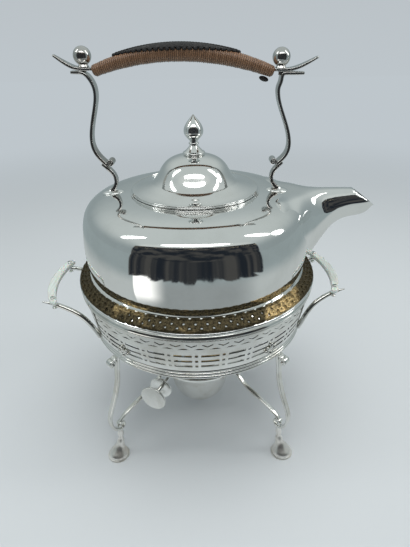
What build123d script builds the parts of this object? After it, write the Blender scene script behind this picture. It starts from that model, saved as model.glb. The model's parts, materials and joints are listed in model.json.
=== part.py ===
"""Silver-plated spirit kettle on a pierced four-legged stand.

The stand, the kettle, its lid, the burner, the burner's cap, the regulator and the wick
are separate bodies. All sizes are millimetres. +Z is up and the origin lies on the stand's
axis at table level. +X points along the spout, and the front of the kettle faces -Y.
"""
import os
from math import atan2, ceil, cos, degrees, hypot, pi, radians, sin, sqrt

from build123d import *

# General
plate_wall = 1.2
seat_gap = 0.3
pin_gap = 0.1
running_gap = 0.05

# Stand: gallery, rim and base ring
rim_radius = 100.0
rim_top = 154.9
rim_height = 5.1
gallery_top_radius = 98.5
gallery_bottom_radius = 92.3
gallery_wall = 1.0
base_ring_bottom = 110.0
base_reed_height = 2.8
base_reed_count = 3
base_reed_bulge = 1.3
base_ring_depth = 4.4

# Stand: pierced pattern
panel_count = 30
slot_length = 13.2
slot_height = 2.1
slot_levels = (123.7, 129.1, 134.7)
dot_width = 2.2
chevron_count = 54
chevron_turn = 1.4
chevron_width = 7.6
chevron_drop = 1.9
chevron_thickness = 1.1
chevron_level = 146.0
peak_width = 8.4
peak_height = 1.5
peak_level = 141.7

# Stand: legs, feet and braces, as distance from the axis and height
leg_azimuths = {"back_right": 43.0, "back_left": 137.0, "front_left": 223.0, "front_right": 317.0}
leg_width = 5.0
leg_thickness_top = 2.8
leg_thickness_end = 2.0
leg_curve = [(90.2, 103.5), (91.2, 95.0), (92.2, 84.5), (95.0, 73.5), (99.3, 62.0), (103.2, 52.5),
             (104.8, 44.5)]
knee_centre = (95.6, 34.6)
knee_radius = 5.8
knee_end_radius = 1.9
knee_turns = 1.15
scroll_offset = (5.1, -6.4)
scroll_radius = 3.3
foot_radius = 9.6
foot_reach = 101.5
foot_rim_height = 1.6
foot_stations = [(101.5, 3.4, 8.2), (100.8, 6.2, 6.6), (99.6, 9.2, 4.8), (98.4, 12.6, 3.6), (97.6, 16.0, 3.1),
                 (97.1, 19.6, 2.0), (96.7, 23.4, 2.7), (96.4, 27.0, 2.2), (96.3, 29.8, 2.4)]
brace_start = (96.5, 37.3)
brace_curve = [(89.5, 42.6), (80.0, 46.8), (69.0, 50.2), (60.5, 53.2), (54.8, 56.4), (50.0, 60.0)]
brace_width = 4.0
brace_thickness = 2.4
leaf_azimuths = (53.5, 126.5, 233.5, 306.5)
leaf_radius = 4.0
leaf_length = 10.8
leaf_level = 125.5
leaf_height = 1.8

# Stand: burner ring
burner_ring_radius = 45.0
burner_ring_width = 4.0
burner_ring_bottom = 61.8
burner_ring_height = 3.2

# Stand: side handles
side_handle_turn = 3.0
arm_radius = 2.0
arm_curve = [(84.4, 36.8, 113.0), (87.2, 37.3, 119.5), (90.8, 37.2, 127.0), (96.7, 36.1, 134.6),
             (104.6, 34.2, 139.6)]
arm_grip_point = (116.0, 31.5, 143.7)
arm_tip = (126.0, 29.2, 144.9)
arm_shift_shares = (0.0, 0.0, 0.15, 0.45, 0.75, 1.0, 1.0)
side_handle_shift = {"left": 2.6, "right": -2.2}
side_grip_reach = 37.0
side_grip_bow = 8.0
side_grip_width_middle = 7.4
side_grip_width_end = 5.6
side_grip_thickness = 4.2
side_grip_let_in = 0.35
rivet_radius = 1.0
rivet_head_radius = 1.9
rivet_head_height = 0.9

# Kettle body: outer curve from the mouth to the base, as radius and height
mouth_radius = 46.5
body_curve = [(50.6, 226.4), (60.0, 225.9), (68.0, 225.1), (74.0, 223.9), (80.0, 221.6), (86.0, 217.0),
              (89.8, 209.0), (91.3, 199.0), (92.0, 188.0), (91.7, 178.0), (89.9, 167.0), (87.4, 155.0),
              (84.2, 143.0), (79.2, 132.0)]
base_radius = 66.0
base_top = 121.2
base_thickness = 1.6
strainer_hole_radius = 1.5
strainer_rows = 5
strainer_columns = 5
strainer_pitch = 6.0
strainer_level = 196.0

# Skirt and lace band
skirt_top_radius = 90.6
skirt_top = 164.2
skirt_bottom_radius = 98.6
skirt_knee = 157.8
skirt_wall = 1.2
skirt_bead = 1.3
lace_thickness = 0.7
lace_count = 72
lace_bottom = 157.9
lace_hole_radius = 1.0
lace_notch = 2.4

# Spout: stations along X with top height, keel height, half width, and how far down, as a
# share of the height, it is widest
spout_stations = [(58.0, 223.6, 158.0, 63.0, 0.24), (70.0, 224.9, 158.0, 57.0, 0.27),
                  (78.0, 225.5, 158.5, 46.0, 0.31), (86.0, 225.9, 160.5, 32.5, 0.34),
                  (94.0, 226.0, 165.0, 21.5, 0.36), (103.0, 226.0, 178.5, 14.6, 0.36),
                  (112.0, 226.0, 193.0, 11.2, 0.36), (126.0, 225.9, 201.6, 8.6, 0.36),
                  (140.0, 225.5, 205.7, 6.6, 0.36), (154.0, 225.0, 211.0, 4.6, 0.36)]
spout_crown = 0.2
spout_wall = 1.1
spout_lip = (126.0, 225.9)
spout_tip = (149.2, 209.0)

# Seat ring, lid and finial
seat_ring_radius = 51.4
seat_ring_top = 227.3
lid_rim_radius = 50.4
lid_rim_height = 1.9
lid_flare = [(46.0, 230.0), (41.5, 231.2), (37.0, 232.6), (33.6, 234.2)]
lid_dome = [(31.2, 236.6), (28.0, 241.2), (25.0, 246.0), (21.0, 250.0), (14.2, 253.2)]
lid_dome_top = 255.0
lid_wall = 1.1
plug_gap = 0.5
plug_wall = 0.9
plug_depth = 8.0
finial_curve = [(7.0, 257.4), (4.6, 259.6), (3.0, 261.6), (3.3, 263.0), (2.8, 264.8), (4.6, 266.7),
                (6.7, 269.2), (7.3, 272.2), (6.3, 276.0), (4.3, 279.1), (1.8, 282.0)]
finial_base_radius = 8.5
finial_height = 28.7
finial_screw_radius = 1.6
finial_nut_radius = 4.0
finial_nut_height = 2.6

# Kettle handle in the XZ plane, measured from its own middle before it leans
handle_lean = -6.6
handle_drop = 1.3
lean_from = 225.0
ball_offset = 69.2
ball_height = 322.0
ball_radius = 6.2
ball_collar_radius = 3.8
ball_collar_height = 1.0
handle_width = 11.0
strap_thickness = 2.0
platform_reach = {"left": 9.5, "right": 15.5}
horn_reach = {"left": 19.5, "right": 25.0}
horn_rise = 8.0
tang_width = 6.0
upright_curves = {
    "right": [(68.6, 306.6), (67.0, 302.6), (66.6, 297.6), (67.7, 291.2), (70.1, 283.5), (72.7, 275.5),
              (74.5, 267.3), (74.5, 260.2), (72.3, 254.4)],
    "left": [(66.2, 307.0), (64.7, 303.0), (64.6, 297.2), (66.2, 290.8), (69.0, 283.0), (71.8, 275.0),
             (73.6, 267.5), (73.6, 260.4), (71.4, 254.8)]}
upright_thickness = 2.3
roll_centre = (62.4, 249.2)
roll_radius = 3.1
roll_bore = 1.1
bracket_curve = [(69.8, 247.6), (65.6, 244.4), (62.4, 240.4), (61.2, 236.4), (61.8, 232.6), (64.2, 228.8)]
bracket_width = 7.0
bracket_thickness = 2.6
leaf_plate_length = 18.0
leaf_plate_width = 13.0
leaf_plate_centre = (65.6, 225.1)
leaf_plate_rise = 2.5
leaf_boss = (4.6, 4.2, 4.1)
stud_radius = 1.5
stud_depth = 5.0

# Handle grip
grip_half_length = 64.0
grip_middle_height = 324.0
grip_sag = 12.0
core_width = 12.2
core_end_width = 9.0
core_height = 8.4
core_end_height = 5.0
cane_diameter = 1.2
cane_loops = 24
cane_gap = 0.15
winding_half_length = 61.0
lace_band_from = -49.0
lace_band_to = 40.0
lace_band_width = 7.0
lace_band_height = 3.4
knot_place = 57.0
knot_size = (7.0, 6.0, 3.4)

# Burner
font_radius = 27.5
font_round_centre = 35.0
font_wall = 0.9
flange_radius = 43.4
flange_thickness = 1.3
cap_radius = 26.0
cap_thickness = 1.2
housing_radius = 10.0
housing_bottom = 73.2
housing_top = 89.5
wick_tube_top = 94.5
wick_width = 10.0
wick_thickness = 2.0
wick_bottom = 16.0
wick_proud = 1.6
tube_wall = 0.6
wick_clearance = 0.35

# Regulator
spindle_azimuth = 246.5
spindle_height = 82.0
spindle_radius = 1.5
gland_radius = 4.0
gland_length = 5.5
wheel_radius = 2.9
wheel_teeth = 10
wheel_width = 8.0
rear_disc_radius = 9.5
rear_disc_at = 76.0
rear_disc_thickness = 1.6
knob_radius = 10.8
knob_at = 88.7
knob_thickness = 1.6


def flat(radius, height):
    """A point of the XZ plane."""
    return Vector(radius, 0, height)


def path(points):
    """A smooth curve through points of the XZ plane."""
    return Spline(*[flat(*point) for point in points])


def chain(points):
    """Straight lines through points of the XZ plane."""
    return Polyline(*[flat(*point) for point in points])


def lathe(*edges):
    """The ring made by turning a closed outline of the XZ plane about the Z axis."""
    return revolve(make_face(Wire(list_of_edges(edges))), Axis.Z)


def list_of_edges(curves):
    """All edges of some curves."""
    return [edge for curve in curves for edge in curve.edges()]


def lathe_polygon(points):
    """The ring made by turning a polygon about the Z axis."""
    return revolve(make_face(chain([*points, points[0]])), Axis.Z)


def disc(radius, bottom, top):
    """An upright cylinder on the Z axis."""
    return Pos(0, 0, (bottom + top) / 2) * Cylinder(radius, top - bottom)


def beside(curve, distance, count):
    """Points of the XZ plane at a distance to the left of a curve's direction."""
    points = []
    for step in range(count + 1):
        at = curve @ (step / count)
        along = curve % (step / count)
        points.append((at.X - along.Z * distance, at.Z + along.X * distance))
    return points


def ribbon(points, width, start_thickness, end_thickness, samples=36):
    """A strip that follows points of the XZ plane, with its width along Y."""
    centre = path(points)
    left = []
    right = []
    for step in range(samples + 1):
        share = step / samples
        half = (start_thickness + (end_thickness - start_thickness) * share) / 2
        at = centre @ share
        along = centre % share
        left.append(flat(at.X - along.Z * half, at.Z + along.X * half))
        right.append(flat(at.X + along.Z * half, at.Z - along.X * half))
    sides = [Spline(*left), Line(left[-1], right[-1]), Spline(*reversed(right)), Line(right[0], left[0])]
    return extrude(make_face(Wire(list_of_edges(sides))), amount=width / 2, dir=(0, 1, 0), both=True)


def cross_bar(centre, radius, width, bore=0.0):
    """A round bar along Y, with an optional bore."""
    bar = Cylinder(radius, width)
    if bore:
        bar -= Cylinder(bore, width)
    return Pos(centre[0], 0, centre[1]) * Rot(90, 0, 0) * bar


def at_azimuth(solid, azimuth):
    """A solid of the XZ plane turned to an azimuth of the stand."""
    return Rot(0, 0, azimuth) * solid


def save(name, solid):
    """Write one node."""
    export_step(solid, f"parts/{name}.step")


def leaned(points):
    """Points of the kettle's handle, with the lean and the tilt of the real one."""
    moved = []
    for x, z in points:
        share = (z - lean_from) / (ball_height - lean_from)
        moved.append((x + handle_lean * share, z - handle_drop * share * x / ball_offset))
    return moved


def mirrored(points, side):
    """Points for the left or the right side of the handle."""
    sign = 1 if side == "right" else -1
    return leaned([(sign * x, z) for x, z in points])


def gallery_radius(height):
    """Outer radius of the gallery wall at a height."""
    share = (height - gallery_bottom) / (gallery_top - gallery_bottom)
    return gallery_bottom_radius + (gallery_top_radius - gallery_bottom_radius) * share


def through_gallery(outline, azimuth, height):
    """A cutter through the gallery wall from an outline of the plane (tangent, up)."""
    inner = gallery_radius(height) - 3 * gallery_wall
    plane = Plane(origin=(inner, 0, height), x_dir=(0, 1, 0), z_dir=(1, 0, 0))
    return at_azimuth(extrude(plane * outline, amount=6 * gallery_wall), azimuth)


gallery_bottom = base_ring_bottom + base_reed_count * base_reed_height
gallery_top = rim_top - rim_height
skirt_bottom = rim_top + seat_gap
body_top = body_curve[0][1]


def base_ring():
    """Three reeds on a plain inner band."""
    inside = gallery_bottom_radius - base_ring_depth
    face = gallery_bottom_radius - base_reed_bulge + 0.2
    edges = []
    for reed in range(base_reed_count):
        low = base_ring_bottom + reed * base_reed_height
        high = low + base_reed_height
        middle = flat(face + base_reed_bulge, (low + high) / 2)
        edges.append(ThreePointArc(flat(face, low), middle, flat(face, high)))
    back = chain([(face, gallery_bottom), (inside, gallery_bottom), (inside, base_ring_bottom),
                  (face, base_ring_bottom)])
    return lathe(*edges, back)


def gallery_rim():
    """Moulded rim: a thin reed under a round bead, with a flat top for the skirt."""
    bead_foot = gallery_top + 0.36 * rim_height
    bead_shoulder = rim_top - 0.04 * rim_height
    reed_radius = gallery_top_radius + 0.7
    inside = gallery_top_radius - gallery_wall - 2.1
    neck = flat(gallery_top_radius + 0.3, bead_foot)
    reed_middle = flat(reed_radius, (gallery_top + bead_foot) / 2)
    reed = ThreePointArc(flat(gallery_top_radius, gallery_top), reed_middle, neck)
    bead = ThreePointArc(neck, flat(rim_radius, (bead_foot + bead_shoulder) / 2),
                         flat(gallery_top_radius + 0.2, rim_top))
    back = chain([(gallery_top_radius + 0.2, rim_top), (inside, rim_top), (inside, rim_top - 1.3),
                  (gallery_top_radius - gallery_wall, rim_top - 2.6),
                  (gallery_top_radius - gallery_wall, gallery_top), (gallery_top_radius, gallery_top)])
    return lathe(reed, bead, back)


def plain_gallery(inner_offset=0.0, outer_offset=0.0):
    """The gallery wall before it is pierced."""
    low_out = gallery_bottom_radius + outer_offset
    top_out = gallery_top_radius + outer_offset
    low_in = gallery_bottom_radius - gallery_wall + inner_offset
    top_in = gallery_top_radius - gallery_wall + inner_offset
    return lathe_polygon([(low_in, gallery_bottom), (low_out, gallery_bottom), (top_out, gallery_top),
                          (top_in, gallery_top)])


def stand_gallery():
    """Pierced wall: panels of three slots, dots between them, chevrons and peaks above."""
    cutters = []
    for panel in range(panel_count):
        azimuth = 360.0 * panel / panel_count
        between = azimuth + 180.0 / panel_count
        for level in slot_levels:
            cutters.append(through_gallery(Rectangle(slot_length, slot_height), azimuth, level))
            cutters.append(through_gallery(Rectangle(dot_width, dot_width), between, level))
    half = chevron_width / 2
    chevron = make_face(Polyline((-half, 0), (0, -chevron_drop), (half, 0), (half, chevron_thickness),
                                 (0, chevron_thickness - chevron_drop), (-half, chevron_thickness), close=True))
    peak = make_face(Polyline((-peak_width / 2, 0), (peak_width / 2, 0), (0, peak_height), close=True))
    for number in range(chevron_count):
        azimuth = 360.0 * number / chevron_count + chevron_turn
        cutters.append(through_gallery(chevron, azimuth, chevron_level))
        cutters.append(through_gallery(peak, azimuth + 180.0 / chevron_count, peak_level))
    return plain_gallery() - cutters


def knee_points():
    """Centre line of the rolled knee, from its outside to its end."""
    points = []
    steps = ceil(12 * knee_turns)
    for step in range(steps + 1):
        share = step / steps
        angle = radians(-48 - 360 * knee_turns * share)
        radius = knee_radius + (knee_end_radius - knee_radius) * share - leg_thickness_end / 2
        points.append((knee_centre[0] + radius * cos(angle), knee_centre[1] + radius * sin(angle)))
    return points


def leg():
    """S-shaped strap with a rolled knee and a scroll under the base ring."""
    top = (leg_curve[0][0] - 0.6, base_ring_bottom)
    strap = ribbon([top, *leg_curve, *knee_points()], leg_width, leg_thickness_top, leg_thickness_end, 90)
    scroll_centre = (leg_curve[0][0] + scroll_offset[0], base_ring_bottom + scroll_offset[1])
    scroll = cross_bar(scroll_centre, scroll_radius, leg_width + 1.2)
    neck = Pos((top[0] + scroll_centre[0]) / 2, 0, scroll_centre[1] + 1.6)
    neck *= Box(scroll_centre[0] - top[0], leg_width - 0.6, 2.6)
    above = Pos(scroll_centre[0], 0, base_ring_bottom + 5) * Box(30, 30, 10)
    return strap + scroll + neck - above


def foot():
    """Domed round pad with a leaning stem and a small knob under the knee."""
    pad = Pos(foot_reach, 0, foot_rim_height / 2) * Cylinder(foot_radius, foot_rim_height)
    pad = fillet(pad.edges().group_by(Axis.Z)[-1], 0.6)
    rings = [Pos(foot_reach, 0, foot_rim_height) * Circle(foot_radius - 0.9)]
    for reach, height, radius in foot_stations:
        rings.append(Pos(reach, 0, height) * Circle(radius))
    return pad + loft(rings)


def burner_ring():
    """Flat hoop that carries the burner."""
    top = burner_ring_bottom + burner_ring_height
    hoop = disc(burner_ring_radius, burner_ring_bottom, top)
    hoop -= disc(burner_ring_radius - burner_ring_width, burner_ring_bottom, top)
    return fillet(hoop.edges().filter_by(GeomType.CIRCLE), 0.7)


def brace(leg_solid, ring_solid):
    """Strip from the top of the rolled knee to the burner ring."""
    end = (burner_ring_radius - 1.2, burner_ring_bottom + burner_ring_height / 2)
    strip = ribbon([brace_start, *brace_curve, end], brace_width, brace_thickness, brace_thickness)
    strip = strip - leg_solid - ring_solid
    return biggest(strip)


def biggest(shape):
    """The largest solid of a shape."""
    return max(shape.solids(), key=lambda solid: solid.volume)


def leg_leaves():
    """A small domed leaf on the gallery wall beside each leg."""
    outside = gallery_radius(leaf_level)
    dome = Pos(outside - leaf_height, 0, leaf_level)
    dome *= scale(Sphere(1), (2 * leaf_height, leaf_radius, leaf_length / 2))
    tip_height = leaf_level - 0.9 * leaf_length / 2
    tip = Pos(gallery_radius(tip_height) - leaf_height, 0, tip_height)
    tip *= scale(Sphere(1), (2 * leaf_height, leaf_radius * 0.5, leaf_radius * 0.7))
    leaf = dome + tip - plain_gallery(-40, 0)
    leaf -= Pos(0, 0, gallery_bottom - 10) * Cylinder(2 * rim_radius, 20)
    return [biggest(at_azimuth(leaf, azimuth)) for azimuth in leaf_azimuths]


def rod(points, radius):
    """Round rod along a smooth space curve."""
    line = Spline(*points)
    section = Plane(origin=line @ 0, z_dir=line % 0) * Circle(radius)
    return sweep(section, path=line)


def rivet_spots(shift):
    """Place of the two rivets of a grip, in the handle's own frame."""
    return [(arm_grip_point[0] + shift, side * arm_grip_point[1]) for side in (-1, 1)]


def side_grip_bottom():
    """Height of the grip's underside, let a little into the arms."""
    return arm_grip_point[2] + arm_radius - side_grip_let_in


def handle_arm(side, shift):
    """One curved arm of a side handle; side is -1 or 1, shift is how far its end is moved out."""
    points = []
    for (x, y, z), share in zip([*arm_curve, arm_grip_point, arm_tip], arm_shift_shares):
        points.append((x + share * shift, side * y, z))
    arm = rod(points, arm_radius)
    arm += Pos(*points[-1]) * Sphere(arm_radius)
    arm -= plain_gallery(-40, 0)
    arm -= base_ring() + disc(gallery_bottom_radius - base_ring_depth, 0, gallery_bottom)
    reach = arm_grip_point[0] + shift
    hole = Pos(reach, side * arm_grip_point[1], arm_grip_point[2])
    arm -= hole * Cylinder(rivet_radius + pin_gap, 4 * arm_radius)
    notch = Box(side_grip_width_middle + 2.5, 16, 10)
    arm -= Pos(reach + 0.5, side * arm_grip_point[1], side_grip_bottom() + 5) * notch
    return biggest(arm)


def side_grip(shift):
    """Bowed flat bar across the two arms of a side handle."""
    bottom = side_grip_bottom()
    middle = arm_grip_point[0] + shift + side_grip_bow * 0.75
    end = arm_grip_point[0] + shift - 1.6
    half_middle = side_grip_width_middle / 2
    half_end = side_grip_width_end / 2
    outer = ThreePointArc((end + half_end, -side_grip_reach), (middle + half_middle, 0),
                          (end + half_end, side_grip_reach))
    inner = ThreePointArc((end - half_end, side_grip_reach), (middle - half_middle, 0),
                          (end - half_end, -side_grip_reach))
    tips = [Line(outer @ 1, inner @ 0), Line(inner @ 1, outer @ 0)]
    outline = Pos(0, 0, bottom) * make_face(Wire(list_of_edges([outer, tips[0], inner, tips[1]])))
    bar = extrude(outline, amount=side_grip_thickness)
    bar = fillet(bar.edges().filter_by(Axis.Z), 1.8)
    bar = fillet(bar.faces().sort_by(Axis.Z)[-1].edges(), 1.4)
    for x, y in rivet_spots(shift):
        bar -= Pos(x, y, bottom) * Cylinder(rivet_radius + pin_gap, 4 * side_grip_thickness)
    return bar


def grip_rivet(x, y):
    """One rivet, through the grip and the arm, with a head at both ends."""
    low = arm_grip_point[2] - arm_radius - 0.6
    high = side_grip_bottom() + side_grip_thickness
    shank = Pos(x, y, (low + high) / 2) * Cylinder(rivet_radius, high - low)
    head = Pos(x, y, high + rivet_head_height / 2) * Cylinder(rivet_head_radius, rivet_head_height)
    tail = Pos(x, y, low - rivet_head_height / 2) * Cylinder(rivet_head_radius, rivet_head_height)
    return shank + head + tail


def body_outline():
    """Outer curve of the kettle's body, from the seat ring to the base."""
    return path([*body_curve, (base_radius + 5.5, base_top + 3.6), (base_radius, base_top)])


def body_solid():
    """The body as a full solid, for trimming what sits on it."""
    outer = body_outline()
    edges = chain([(base_radius, base_top), (0, base_top), (0, body_top), body_curve[0]])
    return lathe(outer, edges)


def kettle_body():
    """Raised body shell, open at the mouth and at the base, with strainer holes."""
    outer = body_outline()
    inner_points = [point for point in beside(outer, -plate_wall, 30) if point[1] > base_top + 0.4]
    inner_points = [point for point in inner_points if point[1] < body_top - plate_wall - 0.05]
    inner = path(inner_points)
    start = inner_points[0]
    end = inner_points[-1]
    foot_inner = (end[0] - 0.6, base_top)
    rest = chain([(base_radius, base_top), foot_inner, end])
    lip = chain([start, (mouth_radius, body_top - plate_wall), (mouth_radius, body_top), body_curve[0]])
    shell = at_azimuth(lathe(outer, rest, inner, lip), 180)
    middle_row = (strainer_rows - 1) / 2
    middle_column = (strainer_columns - 1) / 2
    holes = []
    for row in range(strainer_rows):
        for column in range(strainer_columns):
            y = (column - middle_column) * strainer_pitch
            z = strainer_level + (row - middle_row) * strainer_pitch
            hole = extrude(RegularPolygon(strainer_hole_radius, 8), amount=20)
            holes.append(Pos(80, y, z) * Rot(0, 90, 0) * hole)
    return shell - holes


def kettle_base():
    """Flat base plate under the body."""
    return disc(base_radius, base_top - base_thickness, base_top)


def kettle_skirt(body):
    """Conical collar round the body, with a bead that rests on the stand's rim."""
    outside = skirt_bottom_radius + skirt_wall - 0.3
    inside = outside - 3.1
    bulge = flat(outside + skirt_bead / 2, (skirt_knee + skirt_bottom) / 2)
    bead = ThreePointArc(flat(outside, skirt_knee), bulge, flat(outside, skirt_bottom))
    shelf = skirt_top - 1.9
    rest = chain([(outside, skirt_bottom), (inside, skirt_bottom), (inside, skirt_knee - 0.4),
                  (skirt_top_radius - skirt_wall, shelf), (skirt_top_radius - 12, shelf),
                  (skirt_top_radius - 12, skirt_top), (skirt_top_radius, skirt_top), (outside, skirt_knee)])
    return biggest(lathe(bead, rest) - body)


def lace_line():
    """Slope of the lace band: radius and height at its foot and at its top."""
    outside = skirt_bottom_radius + skirt_wall - 0.3
    slope = (skirt_top_radius - outside) / (skirt_top - skirt_knee)
    foot_radius_here = outside + slope * (lace_bottom - skirt_knee)
    return (foot_radius_here, lace_bottom), (skirt_top_radius, skirt_top)


def lace_band():
    """Openwork band that lies on the skirt, scalloped at both edges."""
    (low_radius, low), (top_radius, top) = lace_line()
    length = hypot(top_radius - low_radius, top - low)
    out = Vector((top - low) / length, 0, (low_radius - top_radius) / length) * lace_thickness
    band = lathe_polygon([(low_radius, low), (low_radius + out.X, low + out.Z),
                          (top_radius + out.X, top + out.Z), (top_radius, top)])
    up = Vector(top_radius - low_radius, 0, top - low) / length
    cutters = []
    for number in range(lace_count):
        azimuth = 360.0 * number / lace_count
        half = azimuth + 180.0 / lace_count
        rows = [(half, length, lace_notch / 2, 4), (azimuth, length * 0.60, lace_hole_radius, 8),
                (half, length * 0.31, lace_hole_radius, 8), (azimuth, 0.0, lace_notch / 2, 4)]
        for angle, along, radius, sides in rows:
            origin = Vector(low_radius, 0, low) + up * along - out
            plane = Plane(origin=origin, x_dir=(0, 1, 0), z_dir=out.normalized())
            hole = extrude(plane * RegularPolygon(radius, sides), amount=4 * lace_thickness)
            cutters.append(at_azimuth(hole, angle))
    return band - cutters


def spout_section(x, top, keel, half_width, widest):
    """Closed outline of the spout in a plane across X: round top, drawn-in keel."""
    height = top - keel
    crown = max(0.012, 0.38 * (widest - spout_crown))
    right = [(0, top), (0.60 * half_width, top - crown * height), (half_width, top - widest * height),
             (0.72 * half_width, top - 0.72 * height), (0, keel)]
    left = [(-y, z) for y, z in reversed(right)]
    halves = []
    for points, start, end in ((right, (0, 1, 0), (0, -1, -0.35)), (left, (0, -1, 0.35), (0, 1, 0))):
        halves.append(Spline(*[(x, y, z) for y, z in points], tangents=(start, end)))
    return make_face(Wire(list_of_edges(halves)))


def spout_form(wall):
    """Loft of the spout, drawn in by a wall thickness."""
    sections = []
    for x, top, keel, half_width, widest in spout_stations:
        sections.append(spout_section(x, top - wall, keel + 1.3 * wall, half_width - wall, widest))
    return loft(sections)


def mouth_cutter():
    """Everything beyond the slanted mouth of the spout."""
    along = atan2(spout_tip[1] - spout_lip[1], spout_tip[0] - spout_lip[0])
    size = 120.0
    plane = Plane(origin=(spout_lip[0], 0, spout_lip[1]), x_dir=(cos(along), 0, sin(along)),
                  z_dir=(-sin(along), 0, cos(along)))
    return extrude(plane * Rectangle(size, size), amount=size)


def spout(body):
    """Hollow spout, trimmed to the body's curve and cut at the mouth."""
    hollow = spout_form(0) - spout_form(spout_wall)
    far_end = Pos(spout_tip[0] + 50, 0, 0) * Box(100, 400, 800)
    beside_lace = disc(2 * rim_radius, 0, skirt_top + 1.5 * lace_thickness)
    return biggest(hollow - body - beside_lace - mouth_cutter() - far_end)


def lid_seat(body):
    """Reeded ring round the mouth, on which the lid's rim closes."""
    middle = (body_top + seat_ring_top) / 2
    edge = seat_ring_radius - 0.6
    low = body_top - 0.3
    lower = ThreePointArc(flat(edge, low), flat(seat_ring_radius, (body_top + middle) / 2), flat(edge, middle))
    upper = ThreePointArc(flat(edge, middle), flat(seat_ring_radius - 0.2, (middle + seat_ring_top) / 2),
                          flat(edge - 0.4, seat_ring_top))
    rest = chain([(edge - 0.4, seat_ring_top), (mouth_radius, seat_ring_top), (mouth_radius, low), (edge, low)])
    return biggest(lathe(lower, upper, rest) - body)


def lid_shell():
    """Rolled rim, concave flare and dome."""
    bottom = seat_ring_top + seat_gap
    rim_top_here = bottom + lid_rim_height
    rim = ThreePointArc(flat(lid_rim_radius - 0.4, bottom), flat(lid_rim_radius, (bottom + rim_top_here) / 2),
                        flat(lid_rim_radius - 0.5, rim_top_here))
    flare = path([(lid_rim_radius - 0.5, rim_top_here), *lid_flare])
    dome = Spline(*[flat(*point) for point in [lid_flare[-1], *lid_dome, (0, lid_dome_top)]],
                  tangents=((-0.8, 0, 1), (-1, 0, 0)))
    inner_dome = Spline(*[flat(r - lid_wall, z - 0.35 * lid_wall) for r, z in [lid_flare[-1], *lid_dome[:3]]],
                        *[flat(r - 0.5 * lid_wall, z - 0.9 * lid_wall) for r, z in lid_dome[3:]],
                        flat(0, lid_dome_top - lid_wall), tangents=((-0.8, 0, 1), (-1, 0, 0)))
    under = path([(r - 0.4, z - lid_wall) for r, z in lid_flare])
    start = under @ 0
    rim_under = chain([(lid_rim_radius - 0.4, bottom), (lid_rim_radius - 3.2, bottom), (start.X, start.Z)])
    joint = Line(under @ 1, inner_dome @ 0)
    axis_line = Line(flat(0, lid_dome_top - lid_wall), flat(0, lid_dome_top))
    shell = lathe(rim, flare, dome, axis_line, inner_dome, joint, under, rim_under)
    return shell - disc(finial_screw_radius + pin_gap, lid_dome_top - 10, lid_dome_top + 10)


def lid_plug():
    """Ring under the lid that drops into the mouth."""
    outer = mouth_radius - plug_gap
    top = seat_ring_top + seat_gap
    ring = lathe_polygon([(outer, top - plug_depth), (outer, top), (lid_flare[0][0] + 0.2, top),
                          (lid_flare[0][0] - 1.6, lid_flare[0][1] - lid_wall - 0.3),
                          (outer - plug_wall - 1.6, top), (outer - plug_wall, top - 1.2),
                          (outer - plug_wall, top - plug_depth)])
    return ring


def finial():
    """Flame-shaped knob with its screw."""
    top = lid_dome_top + finial_height
    shoulder = (finial_base_radius - 0.6, lid_dome_top + 0.9)
    outline = path([shoulder, *finial_curve, (0.25, top)])
    foot_edge = chain([(0, lid_dome_top), (finial_base_radius, lid_dome_top), shoulder])
    point = chain([(0.25, top), (0, top), (0, lid_dome_top)])
    screw = disc(finial_screw_radius, lid_dome_top - lid_wall - finial_nut_height - 0.8, lid_dome_top + 1)
    return lathe(foot_edge, outline, point) + screw


def finial_nut():
    """Nut on the finial's screw, under the dome."""
    top = lid_dome_top - lid_wall - 0.15
    outline = Pos(0, 0, top - finial_nut_height) * RegularPolygon(finial_nut_radius, 6)
    nut = extrude(outline, amount=finial_nut_height)
    return nut - disc(finial_screw_radius + running_gap, top - 2 * finial_nut_height, top + 1)


def strap_middle():
    """Height of the strap's middle under a ball."""
    return ball_height - ball_radius - ball_collar_height - strap_thickness / 2


def grip_height(x):
    """Height of the grip's middle line at a place before the lean."""
    return grip_middle_height - grip_sag * (x / grip_half_length) ** 2


def horn_points(side):
    """One end of the strap, from the ball out to its raised tip."""
    shares = ((0, 0), (0.33, 0.10), (0.68, 0.50), (1, 1))
    return [(ball_offset + out * horn_reach[side], strap_middle() + up * horn_rise) for out, up in shares]


def strap_points():
    """Middle line of the handle strap, from the left tip to the right tip."""
    middle = [(x, grip_height(x)) for x in (-58, -44, -28, -12, 0, 12, 28, 44, 58)]
    left = [(-x, z) for x, z in reversed(horn_points("left"))]
    return left + middle + horn_points("right")


def handle_strap():
    """Strip over the whole handle: wide under the balls, narrow inside the grip."""
    strip = ribbon(leaned(strap_points()), handle_width, strap_thickness, strap_thickness, 80)
    half = handle_width / 2
    shoulder = grip_half_length + 1.0
    tang = tang_width / 2
    plan = []
    for name, sign in (("right", 1), ("left", -1)):
        end = ball_offset + horn_reach[name] + 3.0
        side = [(shoulder - 4, tang), (shoulder, half), (end - 14, half), (end - 3.5, half * 0.62),
                (end - 3.5, -half * 0.62), (end - 14, -half), (shoulder, -half), (shoulder - 4, -tang)]
        lean = handle_lean * (strap_middle() - lean_from) / (ball_height - lean_from)
        plan.append([(sign * x + lean, y if sign > 0 else -y) for x, y in side])
    outline = make_face(Polyline(*plan[0], *plan[1], close=True))
    strip = strip & extrude(Pos(0, 0, lean_from) * outline, amount=200)
    return strip - [stud_hole(side) for side in ("left", "right")]


def ball_place(side):
    """Centre of a ball, with the lean."""
    return mirrored([(ball_offset, ball_height)], side)[0]


def ball_foot(side):
    """Middle of the underside of a ball's collar."""
    x, z = ball_place(side)
    return x, z - ball_radius - ball_collar_height


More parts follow.
